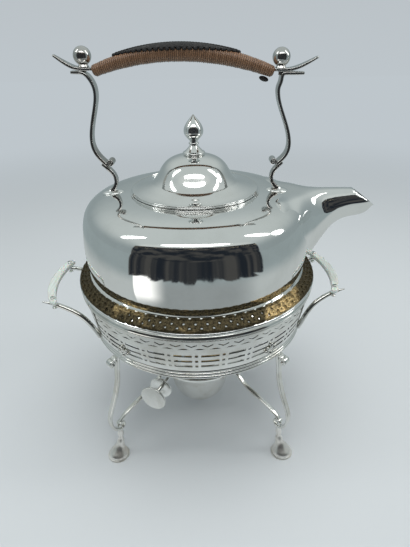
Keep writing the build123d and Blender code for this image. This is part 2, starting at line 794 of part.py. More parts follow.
def stud_hole(side):
    """Hole for a ball's stud, through the strap and the platform."""
    x, low = ball_foot(side)
    depth = 2 * (strap_thickness + upright_thickness)
    return Pos(x, 0, low - 0.5) * Cylinder(stud_radius + pin_gap, depth)


def ball_nut(side, strap):
    """Ball on a small collar, with a blind hole, seated on the strap."""
    x, z = ball_place(side)
    low = ball_foot(side)[1]
    ball = Pos(x, 0, z) * Sphere(ball_radius)
    ball += Pos(x, 0, low + ball_collar_height / 2) * Cylinder(ball_collar_radius, 2 * ball_collar_height)
    ball -= Pos(x, 0, low) * Cylinder(stud_radius + pin_gap, 2 * stud_depth + 1)
    return biggest(ball - strap)


def handle_stud(side):
    """Stud from the underside of the platform up into the ball."""
    x, foot_level = ball_foot(side)
    low = foot_level - strap_thickness - upright_thickness
    high = foot_level + stud_depth
    return Pos(x, 0, (low + high) / 2) * Cylinder(stud_radius, high - low)


def upright(side, strap):
    """S-shaped strip with a flat platform on top and a roll at its foot."""
    level = strap_middle() - (strap_thickness + upright_thickness) / 2
    platform = [(ball_offset + platform_reach[side], level), (ball_offset + 3.5, level),
                (ball_offset + 1.0, level - 0.5)]
    roll = [(roll_centre[0] + roll_radius * 0.75, roll_centre[1] - roll_radius * 0.35)]
    line = mirrored([*platform, *upright_curves[side], *roll], side)
    strip = ribbon(line, handle_width, upright_thickness, upright_thickness, 60)
    centre = mirrored([roll_centre], side)[0]
    strip += cross_bar(centre, roll_radius, handle_width)
    strip -= cross_bar(centre, roll_bore, handle_width + 1)
    x, z = mirrored([(ball_offset, level)], side)[0]
    tilt = degrees(atan2(handle_drop, ball_offset))
    above = Pos(x, 0, z) * Rot(0, tilt, 0) * Pos(0, 0, upright_thickness / 2 + 5) * Box(60, 60, 10)
    return biggest(strip - above - stud_hole(side) - strap)


def leaf_plate(side, body):
    """Low domed plate with a boss that carries a bracket on the shoulder."""
    (x, z), = mirrored([leaf_plate_centre], side)
    tilt = 4 if side == "right" else -4
    plate = scale(Sphere(1), (leaf_plate_length / 2, leaf_plate_width / 2, leaf_plate_rise))
    plate += scale(Sphere(1), leaf_boss)
    return biggest(Pos(x, 0, z) * Rot(0, tilt, 0) * plate - body)


def lower_bracket(side, plate, upright_solid):
    """C-shaped strip from the leaf plate up under the roll."""
    strip = ribbon(mirrored(bracket_curve, side), bracket_width, bracket_thickness, bracket_thickness)
    return biggest(strip - upright_solid - plate)


def grip_station(x, width, height):
    """Oval section across the grip's middle line, at a place before the lean."""
    slope = -2 * grip_sag * x / grip_half_length ** 2
    (place, level), = leaned([(x, grip_height(x))])
    plane = Plane(origin=(place, 0, level), x_dir=(0, 1, 0), z_dir=(1, 0, slope))
    return plane * Ellipse(width / 2, height / 2)


def core_size(x):
    """Width and height of the core at a place before the lean."""
    taper = (abs(x) / grip_half_length) ** 2
    width = core_width - (core_width - core_end_width) * taper
    return width, core_height - (core_height - core_end_height) * taper


def grip_core(strap):
    """Oval core round the tang."""
    stations = [grip_half_length * step / 8 for step in range(-8, 9)]
    core = loft([grip_station(x, *core_size(x)) for x in stations])
    return biggest(core - strap)


def cane_point(turn):
    """Point and direction of the cane's middle line after some turns."""
    def place(value):
        share = value / cane_loops
        x = (2 * share - 1) * winding_half_length
        width, height = core_size(x)
        slope = -2 * grip_sag * x / grip_half_length ** 2
        steep = sqrt(1 + slope * slope)
        angle = 2 * pi * value
        reach_y = width / 2 + cane_gap + cane_diameter / 2
        reach_z = height / 2 + cane_gap + cane_diameter / 2
        (lean_x, level), = leaned([(x, grip_height(x))])
        out = reach_z * cos(angle) / steep
        return Vector(lean_x - out * slope, reach_y * sin(angle), level + out)
    step = 0.001
    return place(turn), (place(turn + step) - place(turn - step)).normalized()


def biarc(start, start_dir, end, end_dir):
    """Two arcs that leave and arrive in the given directions."""
    chord = end - start
    both = start_dir + end_dir
    a = 2 * start_dir.dot(end_dir) - 2
    b = -2 * chord.dot(both)
    c = chord.dot(chord)
    reach = (-b - sqrt(b * b - 4 * a * c)) / (2 * a)
    joint = (start + start_dir * reach + end - end_dir * reach) / 2
    middle_dir = (end - end_dir * reach - start - start_dir * reach).normalized()
    return TangentArc(start, joint, tangent=start_dir), TangentArc(joint, end, tangent=middle_dir)


def cane_winding():
    """The cane as one unbroken tube of quarter-turn biarcs round the core."""
    quarters = 4 * cane_loops
    edges = []
    spots = [cane_point(number / 4) for number in range(quarters + 1)]
    for (start, start_dir), (end, end_dir) in zip(spots, spots[1:]):
        edges.extend(list_of_edges(biarc(start, start_dir, end, end_dir)))
    line = Wire(edges)
    print("cane gap to its next loop", round(least_loop_gap(), 2))
    section = Plane(origin=spots[0][0], z_dir=spots[0][1]) * Circle(cane_diameter / 2)
    tube = sweep(section, path=line)
    print("cane volume over section times length",
          round(tube.volume / (pi * (cane_diameter / 2) ** 2 * line.length), 3))
    return tube


def least_loop_gap():
    """Least gap between the cane's surface and its own next loop."""
    per_loop = 16
    points = [cane_point(number / per_loop)[0] for number in range(per_loop * cane_loops)]
    least = 1e9
    for number, point in enumerate(points):
        for other in points[number + per_loop // 2:number + 2 * per_loop]:
            least = min(least, (point - other).length)
    return least - cane_diameter


def lacing_band():
    """Flat laced band along the top of the winding."""
    lower = []
    upper = []
    steps = 12
    for step in range(steps + 1):
        x = lace_band_from + (lace_band_to - lace_band_from) * step / steps
        top = grip_height(x) + core_size(x)[1] / 2 + cane_diameter + 3 * cane_gap
        rise = lace_band_height * sin(pi * (0.12 + 0.76 * step / steps)) ** 0.6
        lower.append((x, top))
        upper.append((x, top + rise))
    lower = leaned(lower)
    upper = leaned(upper)
    sides = [path(lower), Line(flat(*lower[-1]), flat(*upper[-1])), path(list(reversed(upper))),
             Line(flat(*upper[0]), flat(*lower[0]))]
    band = extrude(make_face(Wire(list_of_edges(sides))), amount=lace_band_width / 2, dir=(0, 1, 0), both=True)
    return band


def lacing_knot():
    """Tucked end of the band under the grip."""
    (x, level), = leaned([(knot_place, grip_height(knot_place))])
    slope = degrees(atan2(2 * grip_sag * knot_place, grip_half_length ** 2))
    length, width, height = knot_size
    top = level - core_size(knot_place)[1] / 2 - cane_diameter - 2 * cane_gap
    knot = scale(Sphere(1), (length / 2, width / 2, height / 2))
    return Pos(x, 0, top - height / 2 - 0.6) * Rot(0, slope, 0) * knot


def burner_font():
    """Deep round-bottomed bowl."""
    top = burner_ring_bottom + burner_ring_height + seat_gap + flange_thickness
    outer = disc(font_radius, font_round_centre, top) + Pos(0, 0, font_round_centre) * Sphere(font_radius)
    inner_radius = font_radius - font_wall
    inner = disc(inner_radius, font_round_centre, top) + Pos(0, 0, font_round_centre) * Sphere(inner_radius)
    return outer - inner


def font_flange():
    """Flat flange soldered round the font, which rests on the burner ring."""
    bottom = burner_ring_bottom + burner_ring_height + seat_gap
    flange = disc(flange_radius, bottom, bottom + flange_thickness)
    flange = fillet(flange.edges().filter_by(GeomType.CIRCLE), 0.5)
    return flange - disc(font_radius, bottom - 1, bottom + 5)


def cap_seat():
    """Height of the font's open edge, on which the cap rests."""
    return burner_ring_bottom + burner_ring_height + seat_gap + flange_thickness


def burner_cap():
    """Shallow cone that closes the font, with a rim over its edge."""
    seat = cap_seat() + seat_gap
    bottom_skirt = seat - 3.0
    inner = font_radius - font_wall - 0.4
    points = [(font_radius + 0.9, seat), (font_radius + 0.9, seat + cap_thickness),
              (cap_radius - 3, seat + cap_thickness + 0.8), (housing_radius, housing_bottom + cap_thickness),
              (housing_radius, housing_bottom), (cap_radius - 3, seat), (inner - 1.0, seat),
              (inner - 1.0, bottom_skirt), (inner, bottom_skirt), (inner, seat)]
    return lathe_polygon(points)


def wick_frame():
    """Frame whose X runs along the spindle, outwards, at the spindle's height."""
    return Pos(0, 0, spindle_height) * Rot(0, 0, spindle_azimuth)


def wick_offset():
    """Distance of the wick's middle plane from the spindle's axis."""
    return wheel_radius + wick_thickness / 2 + wick_clearance


def wick_housing():
    """Round housing with a slot for the wick and a pocket for the toothed wheel."""
    housing = disc(housing_radius, housing_bottom, housing_top)
    height = housing_top - housing_bottom
    middle = (housing_top + housing_bottom) / 2 - spindle_height
    wick_slot = Pos(0, wick_offset(), middle)
    wick_slot *= Box(wick_width + 2 * wick_clearance, wick_thickness + 2 * wick_clearance, height)
    reach = wheel_radius + 0.6
    pocket = Box(wheel_width + 1.2, 2 * reach, 2 * reach)
    pocket += Pos(0, reach / 2 + 0.5, 0) * Box(wheel_width + 1.2, reach, 2 * reach)
    bore = Pos(20, 0, 0) * Rot(0, 90, 0) * Cylinder(spindle_radius + running_gap, 40)
    back_bore = Pos(-wheel_width / 2 - 1, 0, 0) * Rot(0, 90, 0) * Cylinder(spindle_radius + running_gap, 6)
    return housing - [wick_frame() * cutter for cutter in (wick_slot, pocket, bore, back_bore)]


def wick_tube():
    """Flat tube on the housing, round the wick."""
    inner = (wick_width + 2 * wick_clearance, wick_thickness + 2 * wick_clearance)
    outer = Rectangle(inner[0] + 2 * tube_wall, inner[1] + 2 * tube_wall) - Rectangle(*inner)
    place = wick_frame() * Pos(0, wick_offset(), housing_top - spindle_height)
    return extrude(place * outer, amount=wick_tube_top - housing_top)


def wick():
    """Flat woven wick, from the fuel up through the tube."""
    top = wick_tube_top + wick_proud
    strip = Box(wick_width, wick_thickness, top - wick_bottom)
    return wick_frame() * Pos(0, wick_offset(), (top + wick_bottom) / 2 - spindle_height) * strip


def along_spindle(solid, start, length):
    """A Z-built solid of a length laid along the spindle, starting at a distance from the axis."""
    return wick_frame() * Pos(start + length / 2, 0, 0) * Rot(0, 90, 0) * solid


def regulator_spindle():
    """Long thin shaft from the wheel to the knob."""
    start = -wheel_width / 2 - 2.5
    length = knob_at - start
    return along_spindle(Cylinder(spindle_radius, length), start, length)


def gland_nut():
    """Knurled nut where the spindle enters the housing."""
    nut = Cylinder(gland_radius, gland_length) - Cylinder(spindle_radius + running_gap, gland_length)
    nut -= knurl_grooves(gland_radius, gland_length)
    return along_spindle(nut, housing_radius + 0.1, gland_length)


def knurl_grooves(radius, length):
    """Grooves round a knurled nut."""
    count = 16
    grooves = []
    for number in range(count):
        angle = 2 * pi * number / count
        grooves.append(Pos(radius * cos(angle), radius * sin(angle), 0) * Cylinder(0.35, length))
    return grooves


def wick_wheel():
    """Toothed wheel that feeds the wick."""
    root = wheel_radius * 0.72
    points = []
    for number in range(wheel_teeth):
        for share, radius in ((0, root), (0.5, wheel_radius)):
            angle = 2 * pi * (number + share) / wheel_teeth
            points.append((radius * cos(angle), radius * sin(angle)))
    star = make_face(Polyline(*points, close=True))
    wheel = Pos(0, 0, -wheel_width / 2) * extrude(star, amount=wheel_width)
    wheel -= Cylinder(spindle_radius, wheel_width)
    return along_spindle(wheel, -wheel_width / 2, wheel_width)


def rear_disc():
    """Dished disc on the spindle behind the knob."""
    plate = Cylinder(rear_disc_radius, rear_disc_thickness)
    plate = fillet(plate.edges().filter_by(GeomType.CIRCLE), 0.5)
    plate -= Pos(0, 0, rear_disc_radius * 1.9 + 0.1) * Sphere(rear_disc_radius * 1.9)
    plate -= Cylinder(spindle_radius, 3 * rear_disc_thickness)
    return along_spindle(plate, rear_disc_at, rear_disc_thickness)


def knob_disc():
    """Flat round knob with a softened edge and a bare face."""
    knob = Cylinder(knob_radius, knob_thickness)
    knob = fillet(knob.edges().filter_by(GeomType.CIRCLE), 0.6)
    return along_spindle(knob, knob_at, knob_thickness)


def build_stand():
    """All pieces of the stand."""
    save("gallery_wall", stand_gallery())
    save("gallery_rim", gallery_rim())
    save("base_ring", base_ring())
    ring = burner_ring()
    save("burner_ring", ring)
    leg_solid = leg()
    foot_solid = foot() - leg_solid
    brace_solid = brace(leg_solid, ring)
    for name, azimuth in leg_azimuths.items():
        save(f"leg_{name}", at_azimuth(leg_solid, azimuth))
        save(f"foot_{name}", at_azimuth(foot_solid, azimuth))
        save(f"brace_{name}", at_azimuth(brace_solid, azimuth))
    save("leg_leaves", Compound(leg_leaves()))
    rivets = []
    for side, turn in (("right", side_handle_turn), ("left", 180 + side_handle_turn)):
        shift = side_handle_shift[side]
        save(f"side_grip_{side}", at_azimuth(side_grip(shift), turn))
        rivets += [at_azimuth(grip_rivet(x, y), turn) for x, y in rivet_spots(shift)]
        for sign in (-1, 1):
            end = "front" if (sign < 0) == (side == "right") else "back"
            save(f"handle_arm_{side}_{end}", at_azimuth(handle_arm(sign, shift), turn))
    save("grip_rivets", Compound([rivet.solid() for rivet in rivets]))


def build_kettle():
    """All pieces that lift off with the kettle."""
    body = body_solid()
    skirt = kettle_skirt(body)
    save("kettle_body", kettle_body())
    save("kettle_base", kettle_base())
    save("kettle_skirt", skirt)
    save("lace_band", lace_band())
    save("spout", spout(body + skirt))
    save("lid_seat", lid_seat(body))
    strap = handle_strap()
    save("handle_strap", strap)
    for side in ("left", "right"):
        upright_solid = upright(side, strap)
        plate = leaf_plate(side, body + spout_form(0))
        save(f"upright_{side}", upright_solid)
        save(f"leaf_plate_{side}", plate)
        save(f"lower_bracket_{side}", lower_bracket(side, plate, upright_solid))
        save(f"ball_nut_{side}", ball_nut(side, strap))
    save("handle_studs", Compound([handle_stud(side).solid() for side in ("left", "right")]))
    save("grip_core", grip_core(strap))
    save("cane_winding", cane_winding())
    save("lacing_band", lacing_band())
    save("lacing_knot", lacing_knot())


def build_lid():
    """All pieces of the lid."""
    save("lid_shell", lid_shell())
    save("lid_plug", lid_plug())
    save("finial", finial())
    save("finial_nut", finial_nut())


def build_burner():
    """All pieces of the burner."""
    save("burner_font", burner_font())
    save("font_flange", font_flange())
    save("burner_cap", burner_cap())
    save("wick_housing", wick_housing())
    save("wick_tube", wick_tube())
    save("gland_nut", gland_nut())
    save("regulator_spindle", regulator_spindle())
    save("wick_wheel", wick_wheel())
    save("rear_disc", rear_disc())
    save("knob_disc", knob_disc())
    save("wick", wick())


os.makedirs("parts", exist_ok=True)
build_stand()
build_kettle()
build_lid()
build_burner()
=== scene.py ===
"""Looks for a silver-plated spirit kettle on a pierced four-legged stand.

Sizes in the shape functions are millimetres, as on a maker's drawing, and every mesh is
turned to metres when it is made. +Z is up, +X runs along the spout and -Y is the front.
"""
import json
from math import atan2, cos, hypot, pi, radians, sin, sqrt

import bmesh
import bpy
import numpy as np
from mathutils import Matrix, Vector

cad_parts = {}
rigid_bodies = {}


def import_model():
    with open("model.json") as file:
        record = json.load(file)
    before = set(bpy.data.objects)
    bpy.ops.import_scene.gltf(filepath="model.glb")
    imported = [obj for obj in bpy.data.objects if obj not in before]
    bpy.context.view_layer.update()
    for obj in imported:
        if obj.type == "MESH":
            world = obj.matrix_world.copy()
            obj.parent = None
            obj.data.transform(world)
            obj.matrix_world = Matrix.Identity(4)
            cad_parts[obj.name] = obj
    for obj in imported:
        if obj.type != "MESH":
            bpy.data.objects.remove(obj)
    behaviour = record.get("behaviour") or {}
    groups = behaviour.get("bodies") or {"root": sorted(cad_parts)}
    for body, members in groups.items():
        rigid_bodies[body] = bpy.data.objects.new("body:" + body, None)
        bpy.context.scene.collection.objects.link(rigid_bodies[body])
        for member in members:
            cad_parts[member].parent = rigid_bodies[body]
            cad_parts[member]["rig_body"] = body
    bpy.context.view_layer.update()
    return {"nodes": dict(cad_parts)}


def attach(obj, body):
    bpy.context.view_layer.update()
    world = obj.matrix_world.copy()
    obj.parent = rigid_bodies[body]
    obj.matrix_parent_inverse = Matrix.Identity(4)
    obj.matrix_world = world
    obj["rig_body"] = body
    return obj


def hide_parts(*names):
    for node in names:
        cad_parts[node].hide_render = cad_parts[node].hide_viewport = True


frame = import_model()
MM = 0.001
LEG_AZIMUTHS = {"back_right": 43.0, "back_left": 137.0, "front_left": 223.0, "front_right": 317.0}


# Shader maths

class Value:
    """A shader socket that can be used in an expression."""

    def __init__(self, tree, socket):
        self.tree = tree
        self.socket = socket

    def math(self, operation, *others):
        node = self.tree.nodes.new("ShaderNodeMath")
        node.operation = operation
        for slot, value in zip(node.inputs, (self, *others)):
            feed(self.tree, slot, value)
        return Value(self.tree, node.outputs[0])

    def __add__(self, other):
        return self.math("ADD", other)

    __radd__ = __add__

    def __sub__(self, other):
        return self.math("SUBTRACT", other)

    def __rsub__(self, other):
        return (self * -1.0).math("ADD", other)

    def __mul__(self, other):
        return self.math("MULTIPLY", other)

    __rmul__ = __mul__

    def __truediv__(self, other):
        return self.math("DIVIDE", other)


def feed(tree, slot, value):
    """Give a socket a link or a plain value."""
    if isinstance(value, Value):
        tree.links.new(value.socket, slot)
    elif isinstance(value, bpy.types.NodeSocket):
        tree.links.new(value, slot)
    else:
        slot.default_value = value


class Finish:
    """A material under construction."""

    def __init__(self, name):
        self.material = bpy.data.materials.new(name)
        self.material.use_nodes = True
        self.tree = self.material.node_tree
        self.tree.nodes.clear()

    def node(self, kind, settings=None, inputs=None, output=0):
        """One node of a kind, with its settings, the values or links of its sockets, and its output."""
        made = self.tree.nodes.new(kind)
        for key, value in (settings or {}).items():
            if key == "stops":
                ramp = made.color_ramp
                while len(ramp.elements) < len(value):
                    ramp.elements.new(0.5)
                for element, (place, colour) in zip(ramp.elements, value):
                    element.position = place
                    element.color = (*colour, 1.0)
            else:
                setattr(made, key, value)
        for key, value in (inputs or {}).items():
            feed(self.tree, made.inputs[key], value)
        return Value(self.tree, made.outputs[output]) if len(made.outputs) else made

    def coordinates(self):
        return self.node("ShaderNodeTexCoord", output="Object")

    def noise(self, scale, detail=3.0, roughness=0.5, stretch=(1.0, 1.0, 1.0)):
        """Soft noise with features of about 1/scale metres, stretched along an axis."""
        place = self.node("ShaderNodeMapping", None, {"Vector": self.coordinates(), "Scale": stretch})
        return self.node("ShaderNodeTexNoise", None,
                         {"Vector": place, "Scale": scale, "Detail": detail, "Roughness": roughness})

    def parts(self, vector):
        """The X, Y and Z of a vector."""
        made = self.tree.nodes.new("ShaderNodeSeparateXYZ")
        feed(self.tree, made.inputs[0], vector)
        return [Value(self.tree, socket) for socket in made.outputs]

    def rays(self):
        """Whether a ray comes straight from the eye, and whether polished metal sent it on."""
        made = self.tree.nodes.new("ShaderNodeLightPath")
        return [Value(self.tree, made.outputs[label]) for label in ("Is Camera Ray", "Is Glossy Ray")]

    def band(self, value, low, high):
        """0 below low, 1 above high, smooth between."""
        return self.node("ShaderNodeMapRange", {"interpolation_type": "SMOOTHSTEP"},
                         {"Value": value, "From Min": low, "From Max": high})

    def mix(self, share, first, second):
        """Mixed colour."""
        made = self.tree.nodes.new("ShaderNodeMix")
        made.data_type = "RGBA"
        colours = [slot for slot in made.inputs if slot.type == "RGBA"]
        feed(self.tree, made.inputs[0], share)
        for slot, value in zip(colours, (first, second)):
            feed(self.tree, slot, value if isinstance(value, Value) else (*value, 1.0))
        result = [slot for slot in made.outputs if slot.type == "RGBA"][0]
        return Value(self.tree, result)

    def bump(self, height, strength, distance):
        return self.node("ShaderNodeBump", None,
                         {"Height": height, "Strength": strength, "Distance": distance})

    def surface(self, **sockets):
        """Finish the material with one surface shader; socket names use _ for spaces."""
        inputs = {key.replace("_", " "): value for key, value in sockets.items()}
        shader = self.node("ShaderNodeBsdfPrincipled", None, inputs)
        self.node("ShaderNodeOutputMaterial", None, {"Surface": shader})
        return self.material


def silver(name, bright, dull, dull_share, roughness, tarnish=(0.42, 0.36, 0.27)):
    """Polished plate with faint wipe marks, soft unevenness and a little tarnish."""
    finish = Finish(name)
    patches = finish.noise(38.0, 4.0, 0.6)
    marks = finish.noise(900.0, 3.0, 0.7, (1.0, 1.0, 0.12))
    cloud = finish.band(patches, 0.42, 0.72) * dull_share
    specks = finish.band(finish.noise(420.0, 5.0, 0.75), 0.63, 0.74) * (0.35 * dull_share)
    colour = finish.mix(cloud, bright, dull)
    colour = finish.mix(specks, colour, tarnish)
    rough = cloud * 0.10 + finish.band(marks, 0.45, 0.8) * 0.05 + roughness
    swell = finish.noise(60.0, 2.0, 0.4)
    scratch = finish.noise(2600.0, 2.0, 0.6, (0.08, 1.0, 1.0))
    uneven = finish.bump(swell + scratch * 0.03, 0.10, 0.0006)
    return finish.surface(Base_Color=colour, Metallic=1.0, Roughness=rough, Normal=uneven)


def gilt(name):
    """Darkened gilt thread, brighter in random rubbed patches, with a painted highlight in two bands on
    the front, left and right of the middle.
    """
    finish = Finish(name)
    patches = finish.noise(30.0, 3.0, 0.6)
    thread = finish.node("ShaderNodeTexVoronoi", None, {"Vector": finish.coordinates(), "Scale": 900.0})
    x, y, _ = finish.parts(finish.coordinates())
    # Painted highlight: the front of the band is made brighter as if lit, in one window to the right of
    # the middle and one to the left.
    front = finish.band(y * -1.0, 0.02, 0.05)
    right = finish.band(x, 0.040, 0.052) * (1.0 - finish.band(x, 0.074, 0.088))
    left = finish.band(x * -1.0, 0.022, 0.036) * (1.0 - finish.band(x * -1.0, 0.058, 0.072))
    # The random patches are real rubbed wear; the front windows add the painted highlight.
    rubbed_and_highlit = finish.band(patches + (right + left * 0.7) * front * 0.22, 0.60, 0.74)
    crumbs = finish.band(finish.noise(700.0, 4.0, 0.7), 0.5, 0.72)
    colour = finish.mix(rubbed_and_highlit * 0.8 + crumbs * 0.16, (0.115, 0.092, 0.050), (0.86, 0.62, 0.29))
    colour = finish.mix(finish.band(thread, 0.35, 0.75) * 0.6, colour, (0.030, 0.025, 0.016))
    rough = 0.52 - rubbed_and_highlit * 0.18
    uneven = finish.bump(thread + crumbs * 0.6, 0.55, 0.0003)
    return finish.surface(Base_Color=colour, Metallic=0.85, Roughness=rough, Normal=uneven)


def bone(name):
    """Pale polished bone with fine grain along the bar."""
    finish = Finish(name)
    grain = finish.noise(700.0, 4.0, 0.6, (1.0, 0.06, 1.0))
    cloud = finish.noise(60.0, 2.0, 0.5)
    colour = finish.mix(finish.band(grain, 0.35, 0.75), (0.74, 0.80, 0.76), (0.62, 0.65, 0.58))
    colour = finish.mix(finish.band(cloud, 0.5, 0.8) * 0.5, colour, (0.66, 0.66, 0.54))
    rough = 0.28 + grain * 0.14
    return finish.surface(Base_Color=colour, Roughness=rough, Coat_Weight=0.25, Coat_Roughness=0.12,
                          Subsurface_Weight=0.15, Subsurface_Scale=0.004,
                          Normal=finish.bump(grain, 0.18, 0.0002))


def cane(name):
    """Varnished cane: each turn a little different, darker in the joints."""
    finish = Finish(name)
    along = finish.parts(finish.node("ShaderNodeUVMap", {"uv_map": "wrap"}, output="UV"))[1]
    turn = along.math("FLOOR")
    share = along.math("FRACT")
    each = finish.node("ShaderNodeTexWhiteNoise", {"noise_dimensions": "1D"}, {"W": turn}, "Value")
    edge = (share - 0.5).math("ABSOLUTE") * 2.0
    fibre = finish.noise(1500.0, 4.0, 0.6, (1.0, 0.15, 1.0))
    colour = finish.mix(each, (0.150, 0.074, 0.036), (0.215, 0.115, 0.060))
    colour = finish.mix(finish.band(fibre, 0.35, 0.8) * 0.5, colour, (0.30, 0.19, 0.115))
    colour = finish.mix(finish.band(edge, 0.62, 1.0) * 0.85, colour, (0.045, 0.020, 0.012))
    rough = 0.36 + finish.band(edge, 0.6, 1.0) * 0.3
    return finish.surface(Base_Color=colour, Roughness=rough, Coat_Weight=0.25, Coat_Roughness=0.3,
                          Normal=finish.bump(fibre, 0.3, 0.0002))


def lacing(name):
    """Black waxed cord."""
    finish = Finish(name)
    strands = finish.node("ShaderNodeTexWave", {"wave_type": "BANDS", "bands_direction": "DIAGONAL"},
                          {"Vector": finish.coordinates(), "Scale": 900.0, "Distortion": 1.5})
    dust = finish.noise(500.0, 4.0, 0.7)
    colour = finish.mix(finish.band(dust, 0.5, 0.8), (0.012, 0.011, 0.011), (0.07, 0.06, 0.055))
    return finish.surface(Base_Color=colour, Roughness=0.45 + dust * 0.2,
                          Normal=finish.bump(strands, 0.4, 0.0003))


def brass(name):
    """Dull brass with heat marks."""
    finish = Finish(name)
    heat = finish.band(finish.noise(90.0, 4.0, 0.6), 0.4, 0.7)
    colour = finish.mix(heat, (0.66, 0.50, 0.27), (0.36, 0.27, 0.18))
    return finish.surface(Base_Color=colour, Metallic=1.0, Roughness=0.26 + heat * 0.2,
                          Normal=finish.bump(finish.noise(1500.0), 0.08, 0.0002))


def cotton(name):
    """Woven cotton, charred at the top."""
    finish = Finish(name)
    weave = finish.node("ShaderNodeTexWave", {"wave_type": "BANDS", "bands_direction": "Z"},
                        {"Vector": finish.coordinates(), "Scale": 320.0, "Distortion": 2.0})
    height = finish.parts(finish.coordinates())[2]
    charred = finish.band(height + (finish.noise(400.0) - 0.5) * 0.002, 0.0935, 0.0955)
    colour = finish.mix(weave, (0.74, 0.69, 0.58), (0.60, 0.54, 0.43))
    colour = finish.mix(charred * 0.9, colour, (0.05, 0.045, 0.04))
    return finish.surface(Base_Color=colour, Roughness=0.9, Normal=finish.bump(weave, 0.5, 0.0003))


BODY_SILVER = silver("body_silver", (0.90, 0.905, 0.89), (0.78, 0.785, 0.76), 0.5, 0.035)
LID_SILVER = silver("lid_silver", (0.90, 0.90, 0.88), (0.80, 0.79, 0.75), 0.5, 0.05)
STAND_SILVER = silver("stand_silver", (0.84, 0.84, 0.81), (0.60, 0.57, 0.50), 0.7, 0.08)
FOOT_SILVER = silver("foot_silver", (0.90, 0.88, 0.84), (0.70, 0.64, 0.56), 0.8, 0.30)
# Painted shade: the handle's silver plate gets a darker colour than the body's, for the dark look of the
# strap and platforms.
SHADED_HANDLE_SILVER = silver("handle_silver_painted_shade", (0.66, 0.65, 0.63), (0.40, 0.36, 0.32), 0.8, 0.12)
KNOB_SILVER = silver("knob_silver", (0.86, 0.86, 0.83), (0.70, 0.68, 0.62), 0.6, 0.2)
GILT = gilt("gilt_thread")
BONE = bone("polished_bone")
CANE = cane("varnished_cane")
LACING = lacing("black_lacing")
BRASS = brass("dull_brass")
COTTON = cotton("wick_cotton")


# Shapes

def smooth_line(points, count):
    """Evenly spaced points on a cubic curve through some points."""
    place = np.array(points, float)
    step = np.linalg.norm(np.diff(place, axis=0), axis=1)
    reach = np.concatenate([[0.0], np.cumsum(step)])
    last = len(place) - 1
    left = np.eye(last + 1)
    right = np.zeros_like(place)
    for k in range(1, last):
        left[k, k - 1:k + 2] = step[k - 1], 2 * (step[k - 1] + step[k]), step[k]
        right[k] = 6 * ((place[k + 1] - place[k]) / step[k] - (place[k] - place[k - 1]) / step[k - 1])
    curl = np.linalg.solve(left, right)
    at = np.linspace(0, reach[-1], count)
    k = np.clip(np.searchsorted(reach, at, side="right") - 1, 0, last - 1)
    span = step[k][:, None]
    after = (reach[k + 1] - at)[:, None]
    before = (at - reach[k])[:, None]
    bend = (curl[k] * after ** 3 + curl[k + 1] * before ** 3) / (6 * span)
    return bend + (place[k] / span - curl[k] * span / 6) * after + (
        place[k + 1] / span - curl[k + 1] * span / 6) * before


def arc(centre, radius, start, end, count=8, squeeze=1.0):
    """Points of an arc in the plane (radius, height), angles in degrees."""
    angles = np.radians(np.linspace(start, end, count))
    return [(centre[0] + radius * cos(a), centre[1] + radius * squeeze * sin(a)) for a in angles]


def rounded(points, radius, count=5):
    """A closed outline with its corners rounded by up to a radius."""
    place = [np.array(p, float) for p in points]
    result = []
    for k, corner in enumerate(place):
        before = place[k - 1] - corner
        after = place[(k + 1) % len(place)] - corner
        reach = min(radius, np.linalg.norm(before) * 0.45, np.linalg.norm(after) * 0.45)
        first = corner + before / np.linalg.norm(before) * reach
        second = corner + after / np.linalg.norm(after) * reach
        for share in np.linspace(0, 1, count):
            ends = first * (1 - share) ** 2 + second * share ** 2
            result.append(tuple(ends + corner * 2 * share * (1 - share)))
    return result


def offset(points, distance):
    """Points moved sideways from a line of the plane (radius, height)."""
    place = np.array(points, float)
    along = np.gradient(place, axis=0)
    along /= np.linalg.norm(along, axis=1)[:, None]
    return place + np.stack([-along[:, 1], along[:, 0]], 1) * distance


def grid(rows, columns, wrap_rows=False):
    """Faces over a grid of points whose rows are closed rings."""
    faces = []
    for i in range(rows if wrap_rows else rows - 1):
        for j in range(columns):
            below = (i + 1) % rows * columns
            aside = (j + 1) % columns
            faces.append((i * columns + j, i * columns + aside, below + aside, below + j))
    return faces


def closed_ends(faces, count, sides):
    """The faces with the first and last ring of a tube closed by one face each."""
    return [*faces, tuple(range(sides)), tuple(count - sides + k for k in range(sides))]


def turned(points, azimuth):
    """Points turned about the upright axis."""
    a = radians(azimuth)
    turn = np.array([[cos(a), -sin(a), 0], [sin(a), cos(a), 0], [0, 0, 1]])
    return np.asarray(points) @ turn.T


def tidy(mesh, angle=35.0):
    """Join doubled points, face outwards and shade smooth up to an angle."""
    shape = bmesh.new()
    shape.from_mesh(mesh)
    bmesh.ops.remove_doubles(shape, verts=shape.verts, dist=2e-6)
    bmesh.ops.dissolve_degenerate(shape, edges=shape.edges, dist=1e-7)
    bmesh.ops.recalc_face_normals(shape, faces=shape.faces)
    shape.to_mesh(mesh)
    shape.free()
    mesh.shade_smooth()
    mesh.set_sharp_from_angle(angle=radians(angle))


def new_mesh(name, shells):
    """One mesh from some (points, faces) shells in millimetres."""
    points = []
    faces = []
    for shell_points, shell_faces in shells:
        start = len(points)
        points.extend(map(tuple, np.asarray(shell_points, float) * MM))
        faces.extend(tuple(start + k for k in face) for face in shell_faces)
    mesh = bpy.data.meshes.new(name)
    mesh.from_pydata(points, [], faces)
    return mesh


def placed(name, data):
    """A new object in the scene."""
    made = bpy.data.objects.new(name, data)
    bpy.context.scene.collection.objects.link(made)
    return made


def plain_mesh(piece, name):
    """The mesh that an object's modifiers make of it."""
    mesh = bpy.data.meshes.new_from_object(piece.evaluated_get(bpy.context.evaluated_depsgraph_get()))
    mesh.name = name
    return mesh


